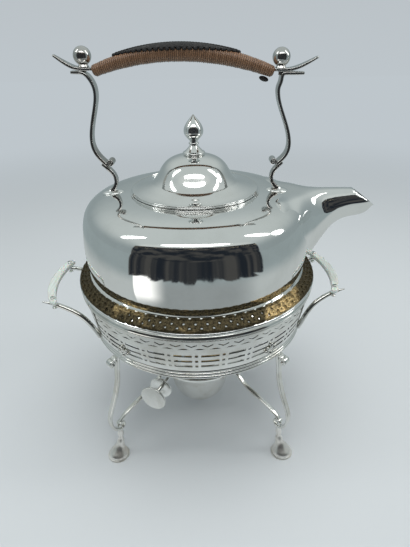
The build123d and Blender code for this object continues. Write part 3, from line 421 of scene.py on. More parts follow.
def dress(name, mesh, finish, body, nodes=()):
    """An object for a mesh, riding on a body and standing for the named nodes."""
    mesh.materials.clear()
    mesh.materials.append(finish)
    piece = placed(name, mesh)
    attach(piece, body)
    if nodes:
        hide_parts(*nodes)
    return piece


def make(name, shells, finish, body, nodes=(), angle=35.0):
    """A finished piece from shells."""
    mesh = new_mesh(name, shells)
    tidy(mesh, angle)
    return dress(name, mesh, finish, body, nodes)


def plated(name, shells, finish, body, node, angle=35.0):
    """A finished piece of silver plate that stands for one node."""
    make(name, shells, finish, body, (node,), angle)


def copied(node, name, finish, angle=35.0):
    """A joined and smoothly shaded copy of a node's surface, standing for it."""
    source = frame["nodes"][node]
    mesh = source.data.copy()
    mesh.name = name
    for layer in list(mesh.uv_layers):
        mesh.uv_layers.remove(layer)
    tidy(mesh, angle)
    return dress(name, mesh, finish, source["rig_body"], (node,))


FINE_RING = 200


def lathe(profile, segments=144):
    """A closed outline of (radius, height) turned about the upright axis."""
    points = []
    for radius, height in profile:
        for k in range(segments):
            a = 2 * pi * k / segments
            points.append((radius * cos(a), radius * sin(a), height))
    return np.array(points), grid(len(profile), segments, wrap_rows=True)


def section(width, thickness, corner, around=5):
    """A rounded rectangle as (across, sideways) points."""
    half_t, half_w = thickness / 2, width / 2
    box = [(half_t, half_w), (-half_t, half_w), (-half_t, -half_w), (half_t, -half_w)]
    return rounded(box, corner, around)


def sweep(line, shapes, domed=(0.0, 0.0)):
    """A closed skin over sections set square to a line of the XZ plane.

    The line holds (x, z) points and shapes one section for each. An end is domed by a length.
    """
    line = np.asarray(line, float)
    along = np.gradient(line, axis=0)
    along /= np.linalg.norm(along, axis=1)[:, None]
    rings = []
    for (x, z), (tx, tz), shape in zip(line, along, shapes):
        rings.append([(x - tz * across, side, z + tx * across) for across, side in shape])
    for end, length in ((0, domed[0]), (-1, domed[1])):
        centre = np.mean(rings[end], axis=0)
        direction = np.array([along[end][0], 0, along[end][1]]) * (1 if end else -1)
        extra = []
        for angle in (30, 55, 75, 90) if length else (90,):
            shrink = cos(radians(angle)) if length else 0.0
            ring = centre + (np.array(rings[end]) - centre) * shrink
            extra.append(ring + direction * length * sin(radians(angle)))
        rings = rings + extra if end else extra[::-1] + rings
    points = np.array([point for ring in rings for point in ring])
    return points, grid(len(rings), len(shapes[0]))


def tube(centres, radii, sides=14):
    """A round rod along points in space, with closed ends."""
    centres = np.asarray(centres, float)
    along = np.gradient(centres, axis=0)
    along /= np.linalg.norm(along, axis=1)[:, None]
    aside = np.cross(along[0], (0, 0, 1) if abs(along[0][2]) < 0.9 else (1, 0, 0))
    points = []
    for centre, direction, radius in zip(centres, along, radii):
        aside = aside - direction * np.dot(aside, direction)
        aside /= np.linalg.norm(aside)
        up = np.cross(direction, aside)
        for k in range(sides):
            a = 2 * pi * k / sides
            points.append(centre + (aside * cos(a) + up * sin(a)) * radius)
    return np.array(points), closed_ends(grid(len(centres), sides), len(points), sides)


def ball(centre, radii, rings=10, sides=16, turn=None):
    """A ball stretched by three radii and turned by a matrix."""
    points = []
    for i in range(rings + 1):
        a = pi * i / rings
        for k in range(sides):
            b = 2 * pi * k / sides
            points.append((radii[0] * sin(a) * cos(b), radii[1] * sin(a) * sin(b), radii[2] * cos(a)))
    points = np.array(points)
    if turn is not None:
        points = points @ np.array(turn).T
    return points + np.array(centre), grid(rings + 1, sides)


def moved(shell, azimuth=0.0, by=(0, 0, 0)):
    """A shell shifted and then turned about the upright axis."""
    return turned(np.asarray(shell[0]) + np.array(by), azimuth), shell[1]


# Stage: camera, floor, light

OPEN_SIDE = (1.82, 1.88)  # where the tent's opening ends sideways, as a slope from straight ahead
OPEN_TOP = (0.93, 0.97)
BACKDROP_LOW = (0.515, 0.565, 0.60)


def look():
    """The camera at the photographer's place."""
    data = bpy.data.cameras.new("view")
    focal_pixels, frame_pixels = 426.9, 547
    data.sensor_width = 36.0
    data.lens = focal_pixels / frame_pixels * data.sensor_width
    data.clip_start = 0.01
    data.clip_end = 50.0
    camera = placed("view", data)
    place = Matrix.Translation((0.007, -0.3325, 0.3329))
    aim = Matrix.Rotation(radians(61.1), 4, "X") @ Matrix.Rotation(radians(-0.9), 4, "Z")
    camera.matrix_world = place @ aim
    bpy.context.scene.camera = camera


def jagged(finish, across, scale, depth):
    """Uneven folds along an edge, between 0 and a depth."""
    fold = finish.node("ShaderNodeTexNoise", {"noise_dimensions": "1D"},
                       {"W": across * scale, "Detail": 2.0})
    return finish.band(fold, 0.35, 0.65) * depth


def dark_room(finish, across, up):
    """What shows through the open front: deep shade, grey shapes and a few warm lights."""
    place = finish.node("ShaderNodeCombineXYZ", None, {"X": across, "Y": up * 1.6, "Z": 0.0})
    shapes = finish.node("ShaderNodeTexNoise", None, {"Vector": place, "Scale": 2.6, "Detail": 3.0})
    streaks = finish.node("ShaderNodeCombineXYZ", None, {"X": across * 5.0, "Y": up * 26.0, "Z": 2.0})
    lights = finish.node("ShaderNodeTexNoise", None, {"Vector": streaks, "Scale": 1.2, "Detail": 1.0})
    colour = finish.mix(finish.band(shapes, 0.42, 0.60), (0.014, 0.018, 0.024), (0.060, 0.060, 0.058))
    shine = finish.band(lights, 0.64, 0.70) * finish.band(up, 0.55, 0.72)
    return finish.mix(shine * 0.7, colour, (0.62, 0.55, 0.38))


def world():
    """A pale tent, open in front: only polished metal shows the dark room beyond it."""
    surround = bpy.data.worlds.new("surround")
    bpy.context.scene.world = surround
    surround.use_nodes = True
    finish = Finish.__new__(Finish)
    finish.tree = surround.node_tree
    finish.tree.nodes.clear()
    seen, mirrored = finish.rays()
    side, front, up = finish.parts(finish.node("ShaderNodeTexCoord", output="Generated"))
    ahead = (front * -1.0).math("MAXIMUM", 0.001)
    across, rise = side / ahead, up / ahead
    aside = across.math("ABSOLUTE")
    inside = (1.0 - finish.band(aside, *OPEN_SIDE)) * (1.0 - finish.band(rise, *OPEN_TOP))
    tent = finish.mix(finish.band(up, 0.12, 0.72), (0.275, 0.325, 0.335), (0.51, 0.56, 0.555))
    lit_edge = (1.0 - finish.band(rise, 1.05, 1.80)) * (1.0 - finish.band(aside, 1.4, 2.0))
    tent = finish.mix(lit_edge * 0.8, tent, (0.62, 0.66, 0.65))
    inside = inside * finish.band(front * -1.0, 0.01, 0.03)
    reflected = finish.mix(inside, tent, dark_room(finish, across, rise))
    backdrop = finish.mix(finish.band(up, -0.2, 0.5), BACKDROP_LOW, (0.46, 0.49, 0.51))
    plain = finish.mix(seen, (0.43, 0.46, 0.475), backdrop)
    colour = finish.mix(mirrored, plain, reflected)
    shade = finish.node("ShaderNodeBackground", None, {"Color": colour, "Strength": 1.0})
    finish.node("ShaderNodeOutputWorld", None, {"Surface": shade})


def floor():
    """A wide pale floor that fades into the backdrop and ends at the tent's open front. In polished metal
    it shows a glowing painted reflection: painted shade in front, a painted pool of light front left and
    the dark room beyond.
    """
    finish = Finish("pale_floor")
    x, y, _ = finish.parts(finish.coordinates())
    away = (x * x + y * y).math("SQRT")
    surface = finish.node("ShaderNodeBsdfDiffuse", None, {"Color": (0.66, 0.69, 0.70, 1.0)})
    glow = finish.node("ShaderNodeEmission", None, {"Color": (*BACKDROP_LOW, 1.0)})
    ahead = (y * -1.0).math("MAXIMUM", 0.001)
    lean = x / ahead
    beyond = finish.band(away - jagged(finish, x, 1.7, 0.07), 0.50, 0.53)
    beyond = beyond * (1.0 - finish.band(lean.math("ABSOLUTE"), *OPEN_SIDE))
    # Painted shade: in reflections the floor in front is darker, and lighter towards the sides.
    aside = finish.band((x.math("ABSOLUTE") / (ahead + 0.05)), 0.5, 1.4)
    painted_floor_reflection = finish.mix(aside, (0.285, 0.315, 0.32), (0.47, 0.51, 0.51))
    painted_floor_reflection = finish.mix(finish.band(away, 0.42, 0.62), painted_floor_reflection, (0.29, 0.345, 0.355))
    # Painted light: a bright glowing patch on the floor, seen in reflections front left of the kettle.
    spot = finish.band(lean, -1.58, -1.50) * (1.0 - finish.band(lean, -0.95, -0.45))
    spot = spot * finish.band(away, 0.20, 0.33)
    painted_floor_reflection = finish.mix(spot, painted_floor_reflection, (1.30, 1.31, 1.28))
    painted_floor_reflection = finish.mix(beyond, painted_floor_reflection, dark_room(finish, lean, y * 0.0))
    # The painted reflection glows, and polished metal sees it in place of the lit floor.
    lit = finish.node("ShaderNodeEmission", None, {"Color": painted_floor_reflection})
    seen, mirrored = finish.rays()
    faded = finish.node("ShaderNodeMixShader", None,
                        {0: finish.band(away, 0.5, 1.4) * seen, 1: surface, 2: glow})
    mixed = finish.node("ShaderNodeMixShader", None,
                        {0: finish.band(away, 0.13, 0.22) * mirrored, 1: faded, 2: lit})
    finish.node("ShaderNodeOutputMaterial", None, {"Surface": mixed})
    mesh = bpy.data.meshes.new("floor")
    mesh.from_pydata([(-4, -4, 0), (4, -4, 0), (4, 4, 0), (-4, 4, 0)], [], [(0, 1, 2, 3)])
    mesh.materials.append(finish.material)
    placed("floor", mesh)


def lamp(name, place, aim, size, power, colour=(1.0, 1.0, 1.0), mirrored=True):
    """A soft oval lamp turned towards a point, seen or not seen in polished metal."""
    data = bpy.data.lights.new(name, "AREA")
    data.shape = "ELLIPSE"
    data.size, data.size_y = size
    data.energy = power
    data.color = colour
    light = placed(name, data)
    light.visible_glossy = mirrored
    direction = Vector(place) - Vector(aim)
    turn = direction.to_track_quat("Z", "Y").to_matrix().to_4x4()
    light.matrix_world = Matrix.Translation(place) @ turn


look()
world()
floor()
lamp("front_light", (0.0, -0.66, 1.05), (0, 0, 0.2), (1.1, 0.20), 1.9)
lamp("left_light", (-0.72, -0.10, 0.95), (0, 0, 0.2), (0.14, 0.50), 0.8, (0.98, 1.0, 1.0))
lamp("right_light", (0.72, -0.10, 0.95), (0, 0, 0.2), (0.14, 0.50), 0.8, (1.0, 0.99, 0.98))
lamp("right_panel", (0.85, 0.0, 0.60), (0, 0, 0.2), (0.20, 0.30), 0.5)
lamp("top_light", (0.05, -0.05, 1.30), (0, 0, 0), (0.9, 0.9), 6.5, mirrored=False)


# Kettle

BODY_CURVE = [(50.6, 226.4), (60.0, 225.9), (68.0, 225.1), (74.0, 223.9), (80.0, 221.6), (86.0, 217.0),
              (89.8, 209.0), (91.3, 199.0), (92.0, 188.0), (91.7, 178.0), (89.9, 167.0), (87.4, 155.0),
              (84.2, 143.0), (79.2, 132.0), (71.5, 124.8), (66.0, 121.2)]


def kettle_body():
    """Raised body with a turned-in mouth and strainer holes behind the spout."""
    wall = 1.2
    outer = smooth_line(BODY_CURVE, 110)
    inner = [p for p in offset(outer, -wall) if 121.7 < p[1] and p[0] > 50.4]
    mouth = [(47.0, 225.2), (46.5, 225.5), (46.5, 226.1), (46.8, 226.4)]
    profile = [*outer, (64.0, 121.2), *inner[::-1], *mouth]
    mesh = new_mesh("body_shell", [lathe(profile, FINE_RING)])
    tidy(mesh)
    holes = []
    hole_radius, pitch, lowest = 1.5, 6, 184
    for row in range(5):
        for column in range(5):
            aside, level = (column - 2) * pitch, lowest + row * pitch
            holes.append(tube([(80, aside, level), (100, aside, level)], [hole_radius] * 2, 10))
    shell = placed("shell", mesh)
    cutter = placed("holes", new_mesh("holes", holes))
    cut = shell.modifiers.new("holes", "BOOLEAN")
    cut.operation = "DIFFERENCE"
    cut.object = cutter
    cut.solver = "EXACT"
    result = plain_mesh(shell, "body_shell")
    for piece in (shell, cutter):
        bpy.data.objects.remove(piece)
    dress("body_shell", result, BODY_SILVER, "kettle", ("kettle_body",))


def turned_pieces():
    """Base plate, skirt collar and mouth ring of the kettle."""
    base = rounded([(0.01, 119.6), (66.0, 119.6), (66.0, 121.2), (0.01, 121.2)], 0.4)
    plated("base_plate", [lathe(base)], BODY_SILVER, "kettle", "kettle_base")
    outside, inside = 99.5, 96.4
    skirt = [(outside, 155.2), (outside - 0.25, 155.5),
             *arc((outside - 0.1, 156.5), 0.75, -70, 80, 9, 1.3), (outside - 0.4, 157.75),
             (90.9, 164.1), (90.5, 164.25), (88.0, 164.25), (88.0, 162.4), (89.3, 162.4),
             (inside, 157.4), (inside, 155.2)]
    plated("skirt_collar", [lathe(skirt, FINE_RING)], BODY_SILVER, "kettle", "kettle_skirt")
    seat = [(46.5, 226.3), (50.7, 226.3), *arc((50.75, 226.82), 0.5, -75, 80, 8), (50.2, 227.3),
            (46.9, 227.3), (46.5, 227.0)]
    plated("mouth_ring", [lathe(seat, FINE_RING)], LID_SILVER, "kettle", "lid_seat")


def lid():
    """Reeded rim, concave flare and dome, with the plug ring under it."""
    flare = smooth_line([(49.4, 229.5), (46.0, 230.0), (41.5, 231.2), (37.0, 232.6), (33.6, 234.2)], 24)
    rise = [(33.6, 234.2), (31.2, 236.6), (28.0, 241.2), (25.0, 246.0), (21.0, 250.0), (14.2, 253.2),
            (0, 255.0)]
    over = [(-r, z) for r, z in rise[-2::-1]]
    dome = smooth_line([*rise, *over], 79)[:40]
    under = [(r - 1.0, z - 0.6) for r, z in dome[:-1]]
    rim = [(46.8, 227.6), (49.9, 227.6), *arc((49.7, 228.3), 0.7, -60, 70, 7),
           *arc((49.3, 229.25), 0.55, -40, 80, 6)]
    beneath = [(r - 0.4, z - 1.1) for r, z in flare[2:]]
    profile = [*rim, *flare, *dome[1:-1], (1.7, 254.95), (1.7, 253.9), *under[::-1][2:], *beneath[::-1]]
    plated("lid_dome", [lathe(profile, FINE_RING)], LID_SILVER, "lid", "lid_shell", 28)
    copied("lid_plug", "lid_plug_ring", LID_SILVER)
    copied("finial_nut", "finial_screw_nut", BRASS)


def finial():
    """Flame-shaped knob on a waisted foot with a small collar."""
    foot = [(0.01, 254.6), (8.2, 254.6), *arc((7.9, 255.7), 0.75, -70, 80, 8, 1.3), (7.3, 256.9)]
    stem = smooth_line([(7.3, 256.9), (6.2, 257.9), (4.4, 259.8), (3.0, 261.6)], 14)
    collar = [*arc((3.0, 262.9), 0.9, -70, 70, 8), (2.8, 264.2)]
    flame = smooth_line([(2.8, 264.5), (4.5, 266.4), (6.6, 268.9), (7.4, 271.9), (6.4, 275.7),
                         (4.3, 279.0), (2.0, 281.7), (0.3, 283.6)], 34)
    profile = [*foot, *stem[1:], *collar, *flame, (0.01, 283.7)]
    screw = lathe([(0.01, 250.6), (1.6, 250.6), (1.6, 255.4), (0.01, 255.4)], 16)
    plated("flame_finial", [lathe(profile, 96), screw], LID_SILVER, "lid", "finial", 40)


# Handle: strap, balls, uprights, brackets

LEAN = -6.6
DROP = 1.3
BALL_OFFSET = 69.2
BALL_HEIGHT = 322.0
BALL_RADIUS = 6.2
STRAP_LEVEL = 313.8
PLATFORM_LEVEL = 311.65
TIP_RISE = 8.0
TIP_CURVE = ((0.33, 0.10), (0.68, 0.50), (1, 1))


def leaned(points):
    """Points of the handle with its lean and tilt."""
    result = []
    for x, z in points:
        share = (z - 225.0) / (BALL_HEIGHT - 225.0)
        result.append((x + LEAN * share, z - DROP * share * x / BALL_OFFSET))
    return result


def to_side(points, sign):
    """Points for the right (1) or the left (-1) side of the handle."""
    return leaned([(sign * x, z) for x, z in points])


def strips(count, widths, thicknesses, corner):
    """Sections whose width and thickness change along a line."""
    shapes = []
    for k in range(count):
        share = k / (count - 1)
        width = np.interp(share, *zip(*widths))
        thickness = np.interp(share, *zip(*thicknesses))
        shapes.append(section(width, thickness, min(corner, thickness * 0.46)))
    return shapes


def volute(centre, outside, inside, start, turns, count=44):
    """Centre line of a rolled end, from outside inwards; turns are positive anticlockwise."""
    points = []
    for k in range(count):
        share = k / (count - 1)
        a = radians(start + 360 * turns * share)
        radius = outside + (inside - outside) * share
        points.append((centre[0] + radius * cos(a), centre[1] + radius * sin(a)))
    return points


UPRIGHTS = {
    "right": [(68.6, 306.6), (67.0, 302.6), (66.6, 297.6), (67.7, 291.2), (70.1, 283.5), (72.7, 275.5),
              (74.5, 267.3), (74.5, 260.2), (72.3, 254.4)],
    "left": [(66.2, 307.0), (64.7, 303.0), (64.6, 297.2), (66.2, 290.8), (69.0, 283.0), (71.8, 275.0),
             (73.6, 267.5), (73.6, 260.4), (71.4, 254.8)],
}


def handle_metal():
    """Strap ends, platforms, S-shaped uprights, brackets and balls."""
    strap = []
    for sign, reach in ((1, 25.0), (-1, 19.5)):
        points = [(58.0, 314.4), (64.0, STRAP_LEVEL + 0.1), (BALL_OFFSET, STRAP_LEVEL)]
        points += [(BALL_OFFSET + out * reach, STRAP_LEVEL + up * TIP_RISE) for out, up in TIP_CURVE]
        line = smooth_line(to_side(points, sign), 60)
        widths = ((0, 6.0), (0.12, 6.0), (0.2, 10.6), (0.55, 10.6), (0.85, 7.0), (1, 4.6))
        strap.append(sweep(line, strips(60, widths, ((0, 2.0), (0.7, 2.0), (1, 1.5)), 0.7), (0, 1.0)))
    plated("handle_strap_ends", strap, SHADED_HANDLE_SILVER, "kettle", "handle_strap")
    for side, sign, reach in (("right", 1, 15.5), ("left", -1, 9.5)):
        points = [(BALL_OFFSET + out, PLATFORM_LEVEL) for out in (reach, reach * 0.6, 3.5)]
        points += [(BALL_OFFSET + 1.0, PLATFORM_LEVEL - 0.5), *UPRIGHTS[side], (65.4, 247.6)]
        line = smooth_line(to_side(points, sign), 110)
        widths = ((0, 7.0), (0.08, 10.4), (0.3, 9.4), (0.75, 8.6), (1, 10.4))
        upright = sweep(line, strips(110, widths, ((0, 2.0), (0.1, 2.3), (1, 2.3)), 0.9), (0.6, 0.3))
        centre = to_side([(62.4, 249.2)], sign)[0]
        roll = volute(centre, 2.2, 0.9, -50 if sign > 0 else 230, 1.3 * sign, 40)
        coil = sweep(roll, strips(40, ((0, 10.6), (1, 10.0)), ((0, 1.7), (1, 1.4)), 0.6), (0.2, 0.3))
        plated(f"upright_strip_{side}", [upright, coil], SHADED_HANDLE_SILVER, "kettle", f"upright_{side}")
        points = [(69.8, 247.6), (65.6, 244.4), (62.4, 240.4), (61.2, 236.4), (61.8, 232.6),
                  (64.2, 228.8), (65.6, 227.3)]
        line = smooth_line(to_side(points, sign), 50)
        widths = ((0, 4.4), (0.2, 6.6), (0.7, 6.8), (1, 8.4))
        thicknesses = ((0, 1.9), (0.2, 2.6), (0.7, 2.6), (1, 3.4))
        bracket = sweep(line, strips(50, widths, thicknesses, 1.0), (0.5, 0))
        plated(f"bracket_strip_{side}", [bracket], SHADED_HANDLE_SILVER, "kettle", f"lower_bracket_{side}")
        copied(f"leaf_plate_{side}", f"shoulder_plate_{side}", BODY_SILVER)
        centre = to_side([(BALL_OFFSET, BALL_HEIGHT)], sign)[0]
        sphere = ball((centre[0], 0, centre[1]), [BALL_RADIUS] * 3, 32, 48)
        collar = moved(lathe([(0.01, -7.2), (3.7, -7.2), (3.8, -6.8), (3.1, -5.3), (0.01, -5.3)], 32),
                       by=(centre[0], 0, centre[1]))
        plated(f"ball_{side}", [sphere, collar], SHADED_HANDLE_SILVER, "kettle", f"ball_nut_{side}")
    copied("handle_studs", "handle_stud_pins", SHADED_HANDLE_SILVER)


# Handle grip: cane turns and black lacing

GRIP_HALF = 64.0
GRIP_SAG = 12.0
SQUARED = 2.6


def core_size(x):
    """Width and height of the grip's core at a place along it."""
    taper = (abs(x) / GRIP_HALF) ** 2
    return 12.2 - 3.2 * taper, 8.4 - 3.4 * taper


def grip_point(x, across, aside):
    """A point round the grip: across is square to its line, aside is towards the back."""
    slope = -2 * GRIP_SAG * x / GRIP_HALF ** 2
    steep = sqrt(1 + slope * slope)
    (lean_x, level), = leaned([(x, 324.0 - GRIP_SAG * (x / GRIP_HALF) ** 2)])
    return lean_x - across * slope / steep, aside, level + across / steep


def grip_ring(half_width, half_height, angle):
    """A place on the squared oval round the grip: across and aside."""
    reach = (abs(cos(angle)) ** SQUARED + abs(sin(angle)) ** SQUARED) ** (-1 / SQUARED)
    return half_height * cos(angle) * reach, half_width * sin(angle) * reach


def cane_grip():
    """Flat cane in ninety close turns round the core, as one spiral-ribbed skin."""
    turns, steps, sides = 90, 8, 44
    rows = turns * steps + 1
    half = GRIP_HALF - 0.8
    dice = np.random.default_rng(7)
    swell = dice.uniform(-0.12, 0.12, turns + 3)
    points = []
    wraps = []
    for i in range(rows):
        x = -half + 2 * half * i / (rows - 1)
        width, height = core_size(x)
        for k in range(sides):
            a = 2 * pi * k / sides
            phase = turns * i / (rows - 1) + 1 - k / sides
            ridge = abs(sin(pi * phase)) ** 0.55
            fade = min(1.0, (half - abs(x)) / 1.2 + 0.25)
            out = (0.15 + 0.62 + 0.58 * ridge + swell[int(phase)]) * fade
            points.append(grip_point(x, *grip_ring(width / 2 + out, height / 2 + out, a)))
            wraps.append((k / sides, phase))
    mesh = new_mesh("cane_turns", [(points, closed_ends(grid(rows, sides), len(points), sides))])
    layer = mesh.uv_layers.new(name="wrap")
    for loop in mesh.loops:
        layer.data[loop.index].uv = wraps[loop.vertex_index]
    for face in mesh.polygons:
        around = [layer.data[k] for k in face.loop_indices]
        if max(uv.uv[0] for uv in around) > 0.9 and min(uv.uv[0] for uv in around) < 0.1:
            for uv in around:
                if uv.uv[0] < 0.5:
                    uv.uv = (uv.uv[0] + 1.0, uv.uv[1] - 1.0)
    mesh.shade_smooth()
    dress("cane_turns", mesh, CANE, "kettle", ("cane_winding", "grip_core"))


NODE_TREES = {}
RING_INPUTS = (("Count", "Int"), ("Radius", "Float"), ("Height", "Float"), ("Start Angle", "Float"))
GUIDE_INPUTS = (("Count", "Int"), ("Guide", "Object"))


def repeat_tree(name, labels):
    """Geometry nodes that repeat the object's own mesh round a ring or along a guide curve."""
    if name in NODE_TREES:
        return NODE_TREES[name]
    tree = bpy.data.node_groups.new(name, "GeometryNodeTree")
    for label, kind in (("Geometry", "Geometry"), *labels, ("Material", "Material")):
        tree.interface.new_socket(label, in_out="INPUT", socket_type="NodeSocket" + kind)
    tree.interface.new_socket("Geometry", in_out="OUTPUT", socket_type="NodeSocketGeometry")

    def add(kind, links, output=0):
        """A node with its links made, and one of its outputs."""
        node = tree.nodes.new(kind)
        for slot, socket in links.items():
            tree.links.new(socket, node.inputs[slot])
        return node.outputs[output] if len(node.outputs) else node

    given = tree.nodes.new("NodeGroupInput").outputs
    if labels == RING_INPUTS:
        spots = add("GeometryNodeMeshCircle", {"Vertices": given["Count"], "Radius": given["Radius"]})
        place = tree.nodes.new("ShaderNodeSeparateXYZ")
        tree.links.new(add("GeometryNodeInputPosition", {}), place.inputs[0])
        angle = add("ShaderNodeMath", {0: place.outputs["Y"], 1: place.outputs["X"]})
        angle.node.operation = "ARCTAN2"
        turn = add("ShaderNodeCombineXYZ", {"Z": angle})
    else:
        guide = add("GeometryNodeObjectInfo", {"Object": given["Guide"]}, "Geometry")
        spots = add("GeometryNodeCurveToPoints", {"Curve": guide, "Count": given["Count"]}, "Points")
        spots.node.mode = "COUNT"
        turn = spots.node.outputs["Rotation"]
    copies = add("GeometryNodeInstanceOnPoints",
                 {"Points": spots, "Instance": given["Geometry"], "Rotation": turn})
    if labels == RING_INPUTS:
        lift = add("ShaderNodeCombineXYZ", {"Z": given["Height"]})
        twist = add("ShaderNodeCombineXYZ", {"Z": given["Start Angle"]})
        copies = add("GeometryNodeTransform", {"Geometry": copies, "Translation": lift, "Rotation": twist})
    real = add("GeometryNodeRealizeInstances", {"Geometry": copies})
    painted = add("GeometryNodeSetMaterial", {"Geometry": real, "Material": given["Material"]})
    add("NodeGroupOutput", {"Geometry": painted})
    NODE_TREES[name] = tree
    return tree


def repeated(name, unit, tree, settings, finish, body):
    """The plain mesh that a repeat tree makes of a unit, as a finished piece."""
    holder = placed(name + "_unit", unit)
    modifier = holder.modifiers.new("repeat", "NODES")
    modifier.node_group = tree
    for label, value in {**settings, "Material": finish}.items():
        modifier[tree.interface.items_tree[label].identifier] = value
    holder.update_tag()
    mesh = plain_mesh(holder, name)
    bpy.data.objects.remove(holder)
    mesh.shade_smooth()
    mesh.set_sharp_from_angle(angle=radians(40.0))
    return dress(name, mesh, finish, body)


def guide_curve(points):
    """A hidden poly curve in metres for a repeat tree to follow."""
    data = bpy.data.curves.new("guide", "CURVE")
    data.dimensions = "3D"
    line = data.splines.new("POLY")
    line.points.add(len(points) - 1)
    for spot, point in zip(line.points, points):
        spot.co = (*[value * MM for value in point], 1.0)
    return placed("guide", data)


LACED = (-46.0, 38.0)


def lacing_angle(share):
    """Half the angle that the lacing covers round the grip, widest in its middle."""
    return 0.20 + 0.95 * sin(pi * share) ** 0.6


def lacing_place(share, angle, lift):
    """A point on the laced part of the grip; the angle is from the top towards the back."""
    x = LACED[0] + (LACED[1] - LACED[0]) * share
    width, height = core_size(x)
    cover = 1.25 + lift
    return grip_point(x, *grip_ring(width / 2 + cover, height / 2 + cover, angle))


def along_lacing(name, line, shells, count):
    """Black copies of a small shape along a line of the lacing."""
    guide = guide_curve(line)
    repeated(name, new_mesh(name + "_shape", shells), repeat_tree("along_guide", GUIDE_INPUTS),
             {"Count": count, "Guide": guide}, LACING, "kettle")
    bpy.data.objects.remove(guide)


def black_lacing():
    """Crescent of black lacing over the top of the cane, stitched along it, looped at both edges."""
    rows, around = 80, 14
    points = []
    for k in range(rows):
        share = k / (rows - 1)
        spread = lacing_angle(share) * 0.86
        swell = 0.35 + 0.95 * sin(pi * share) ** 0.5
        for lift, order in ((swell, range(around)), (-0.4, range(around - 1, -1, -1))):
            for j in order:
                points.append(lacing_place(share, spread * (2 * j / (around - 1) - 1), lift))
    faces = closed_ends(grid(rows, 2 * around), len(points), 2 * around)
    make("lacing_cover", [(points, faces)], LACING, "kettle", ("lacing_band",), 60)
    stitch = []
    for sign in (-1, 1):
        turn = Matrix.Rotation(radians(38 * sign), 3, "Y")
        stitch.append(ball((0, 0, 0.9 * sign), (0.62, 0.72, 1.9), 6, 8, turn))
    steps = 59
    middle = [lacing_place(k / steps, 0.0, 1.0) for k in range(2, steps - 1)]
    along_lacing("lacing_stitches", middle, stitch, 42)
    for side, name in ((-1, "front"), (1, "back")):
        shares = [k / steps for k in range(steps + 1)]
        line = [lacing_place(share, side * lacing_angle(share) * 0.93, 0.35) for share in shares]
        along_lacing(f"lacing_loops_{name}", line, [ball((0, 0, 0), (1.2, 1.2, 1.75), 8, 10)], 24)
    copied("lacing_knot", "lacing_tuck", LACING)


# Spout

copied("spout", "spout_shell", BODY_SILVER, 40)


# Stand

FOOT_PAD = [(0.0, 9.3), (0.35, 9.6), (1.2, 9.6), (1.6, 9.3), (1.75, 8.8)]
FOOT_BELL = [(101.5, 1.9, 8.7), (101.5, 3.6, 8.2), (100.8, 6.2, 6.6), (99.6, 9.2, 4.8),
             (98.4, 12.6, 3.6), (97.6, 16.0, 3.1), (97.1, 19.6, 2.0), (96.7, 23.4, 2.7),
             (96.4, 27.0, 2.2), (96.3, 29.8, 2.4)]


def knee_line():
    """Centre line of the rolled knee, from its outside inwards."""
    return volute((95.6, 34.6), 4.8, 0.9, -48, -1.2, 60)


def stand_leg(name, azimuth):
    """Leg strip with a rolled knee and a scroll under the base ring, and its brace and foot."""
    curve = [(89.6, 109.9), (90.2, 103.5), (91.2, 95.0), (92.2, 84.5), (95.0, 73.5), (99.3, 62.0),
             (103.2, 52.5), (104.8, 44.5), *knee_line()[::3]]
    line = smooth_line(curve, 170)
    widths, thicknesses = ((0, 6.0), (0.2, 5.0), (1, 5.0)), ((0, 3.0), (0.5, 2.6), (1, 1.9))
    strip = sweep(line, strips(170, widths, thicknesses, 0.95), (0, 0.3))
    roll = [(91.0, 107.6), (92.6, 107.4), *volute((95.4, 103.7), 2.9, 0.8, 118, -1.6, 50)]
    widths, thicknesses = ((0, 5.4), (0.2, 6.4), (1, 6.4)), ((0, 1.9), (1, 1.2))
    scroll = sweep(roll, strips(52, widths, thicknesses, 0.7), (0, 0.3))
    shells = [moved(strip, azimuth), moved(scroll, azimuth)]
    plated(f"leg_strip_{name}", shells, STAND_SILVER, "stand", f"leg_{name}")
    brace = smooth_line([(96.2, 37.4), (89.5, 42.6), (80.0, 46.8), (69.0, 50.2), (60.5, 53.2),
                         (54.8, 56.4), (50.0, 60.0), (43.9, 63.4)], 60)
    strap = sweep(brace, strips(60, ((0, 3.4), (0.2, 4.0), (1, 4.0)), ((0, 2.2), (1, 2.4)), 0.9))
    plated(f"brace_strip_{name}", [moved(strap, azimuth)], STAND_SILVER, "stand", f"brace_{name}")
    pad = [(101.5, height, radius) for height, radius in FOOT_PAD]
    sides = 40
    rings = []
    for reach, height, radius in [*pad, *smooth_line(FOOT_BELL, 46)]:
        for k in range(sides):
            a = 2 * pi * k / sides
            rings.append((reach + radius * cos(a), radius * sin(a), height))
    faces = closed_ends(grid(len(rings) // sides, sides), len(rings), sides)
    plated(f"foot_pad_{name}", [moved((rings, faces), azimuth)], FOOT_SILVER, "stand", f"foot_{name}")


WALL_SLOPE = atan2(98.5 - 92.3, 149.8 - 118.4)


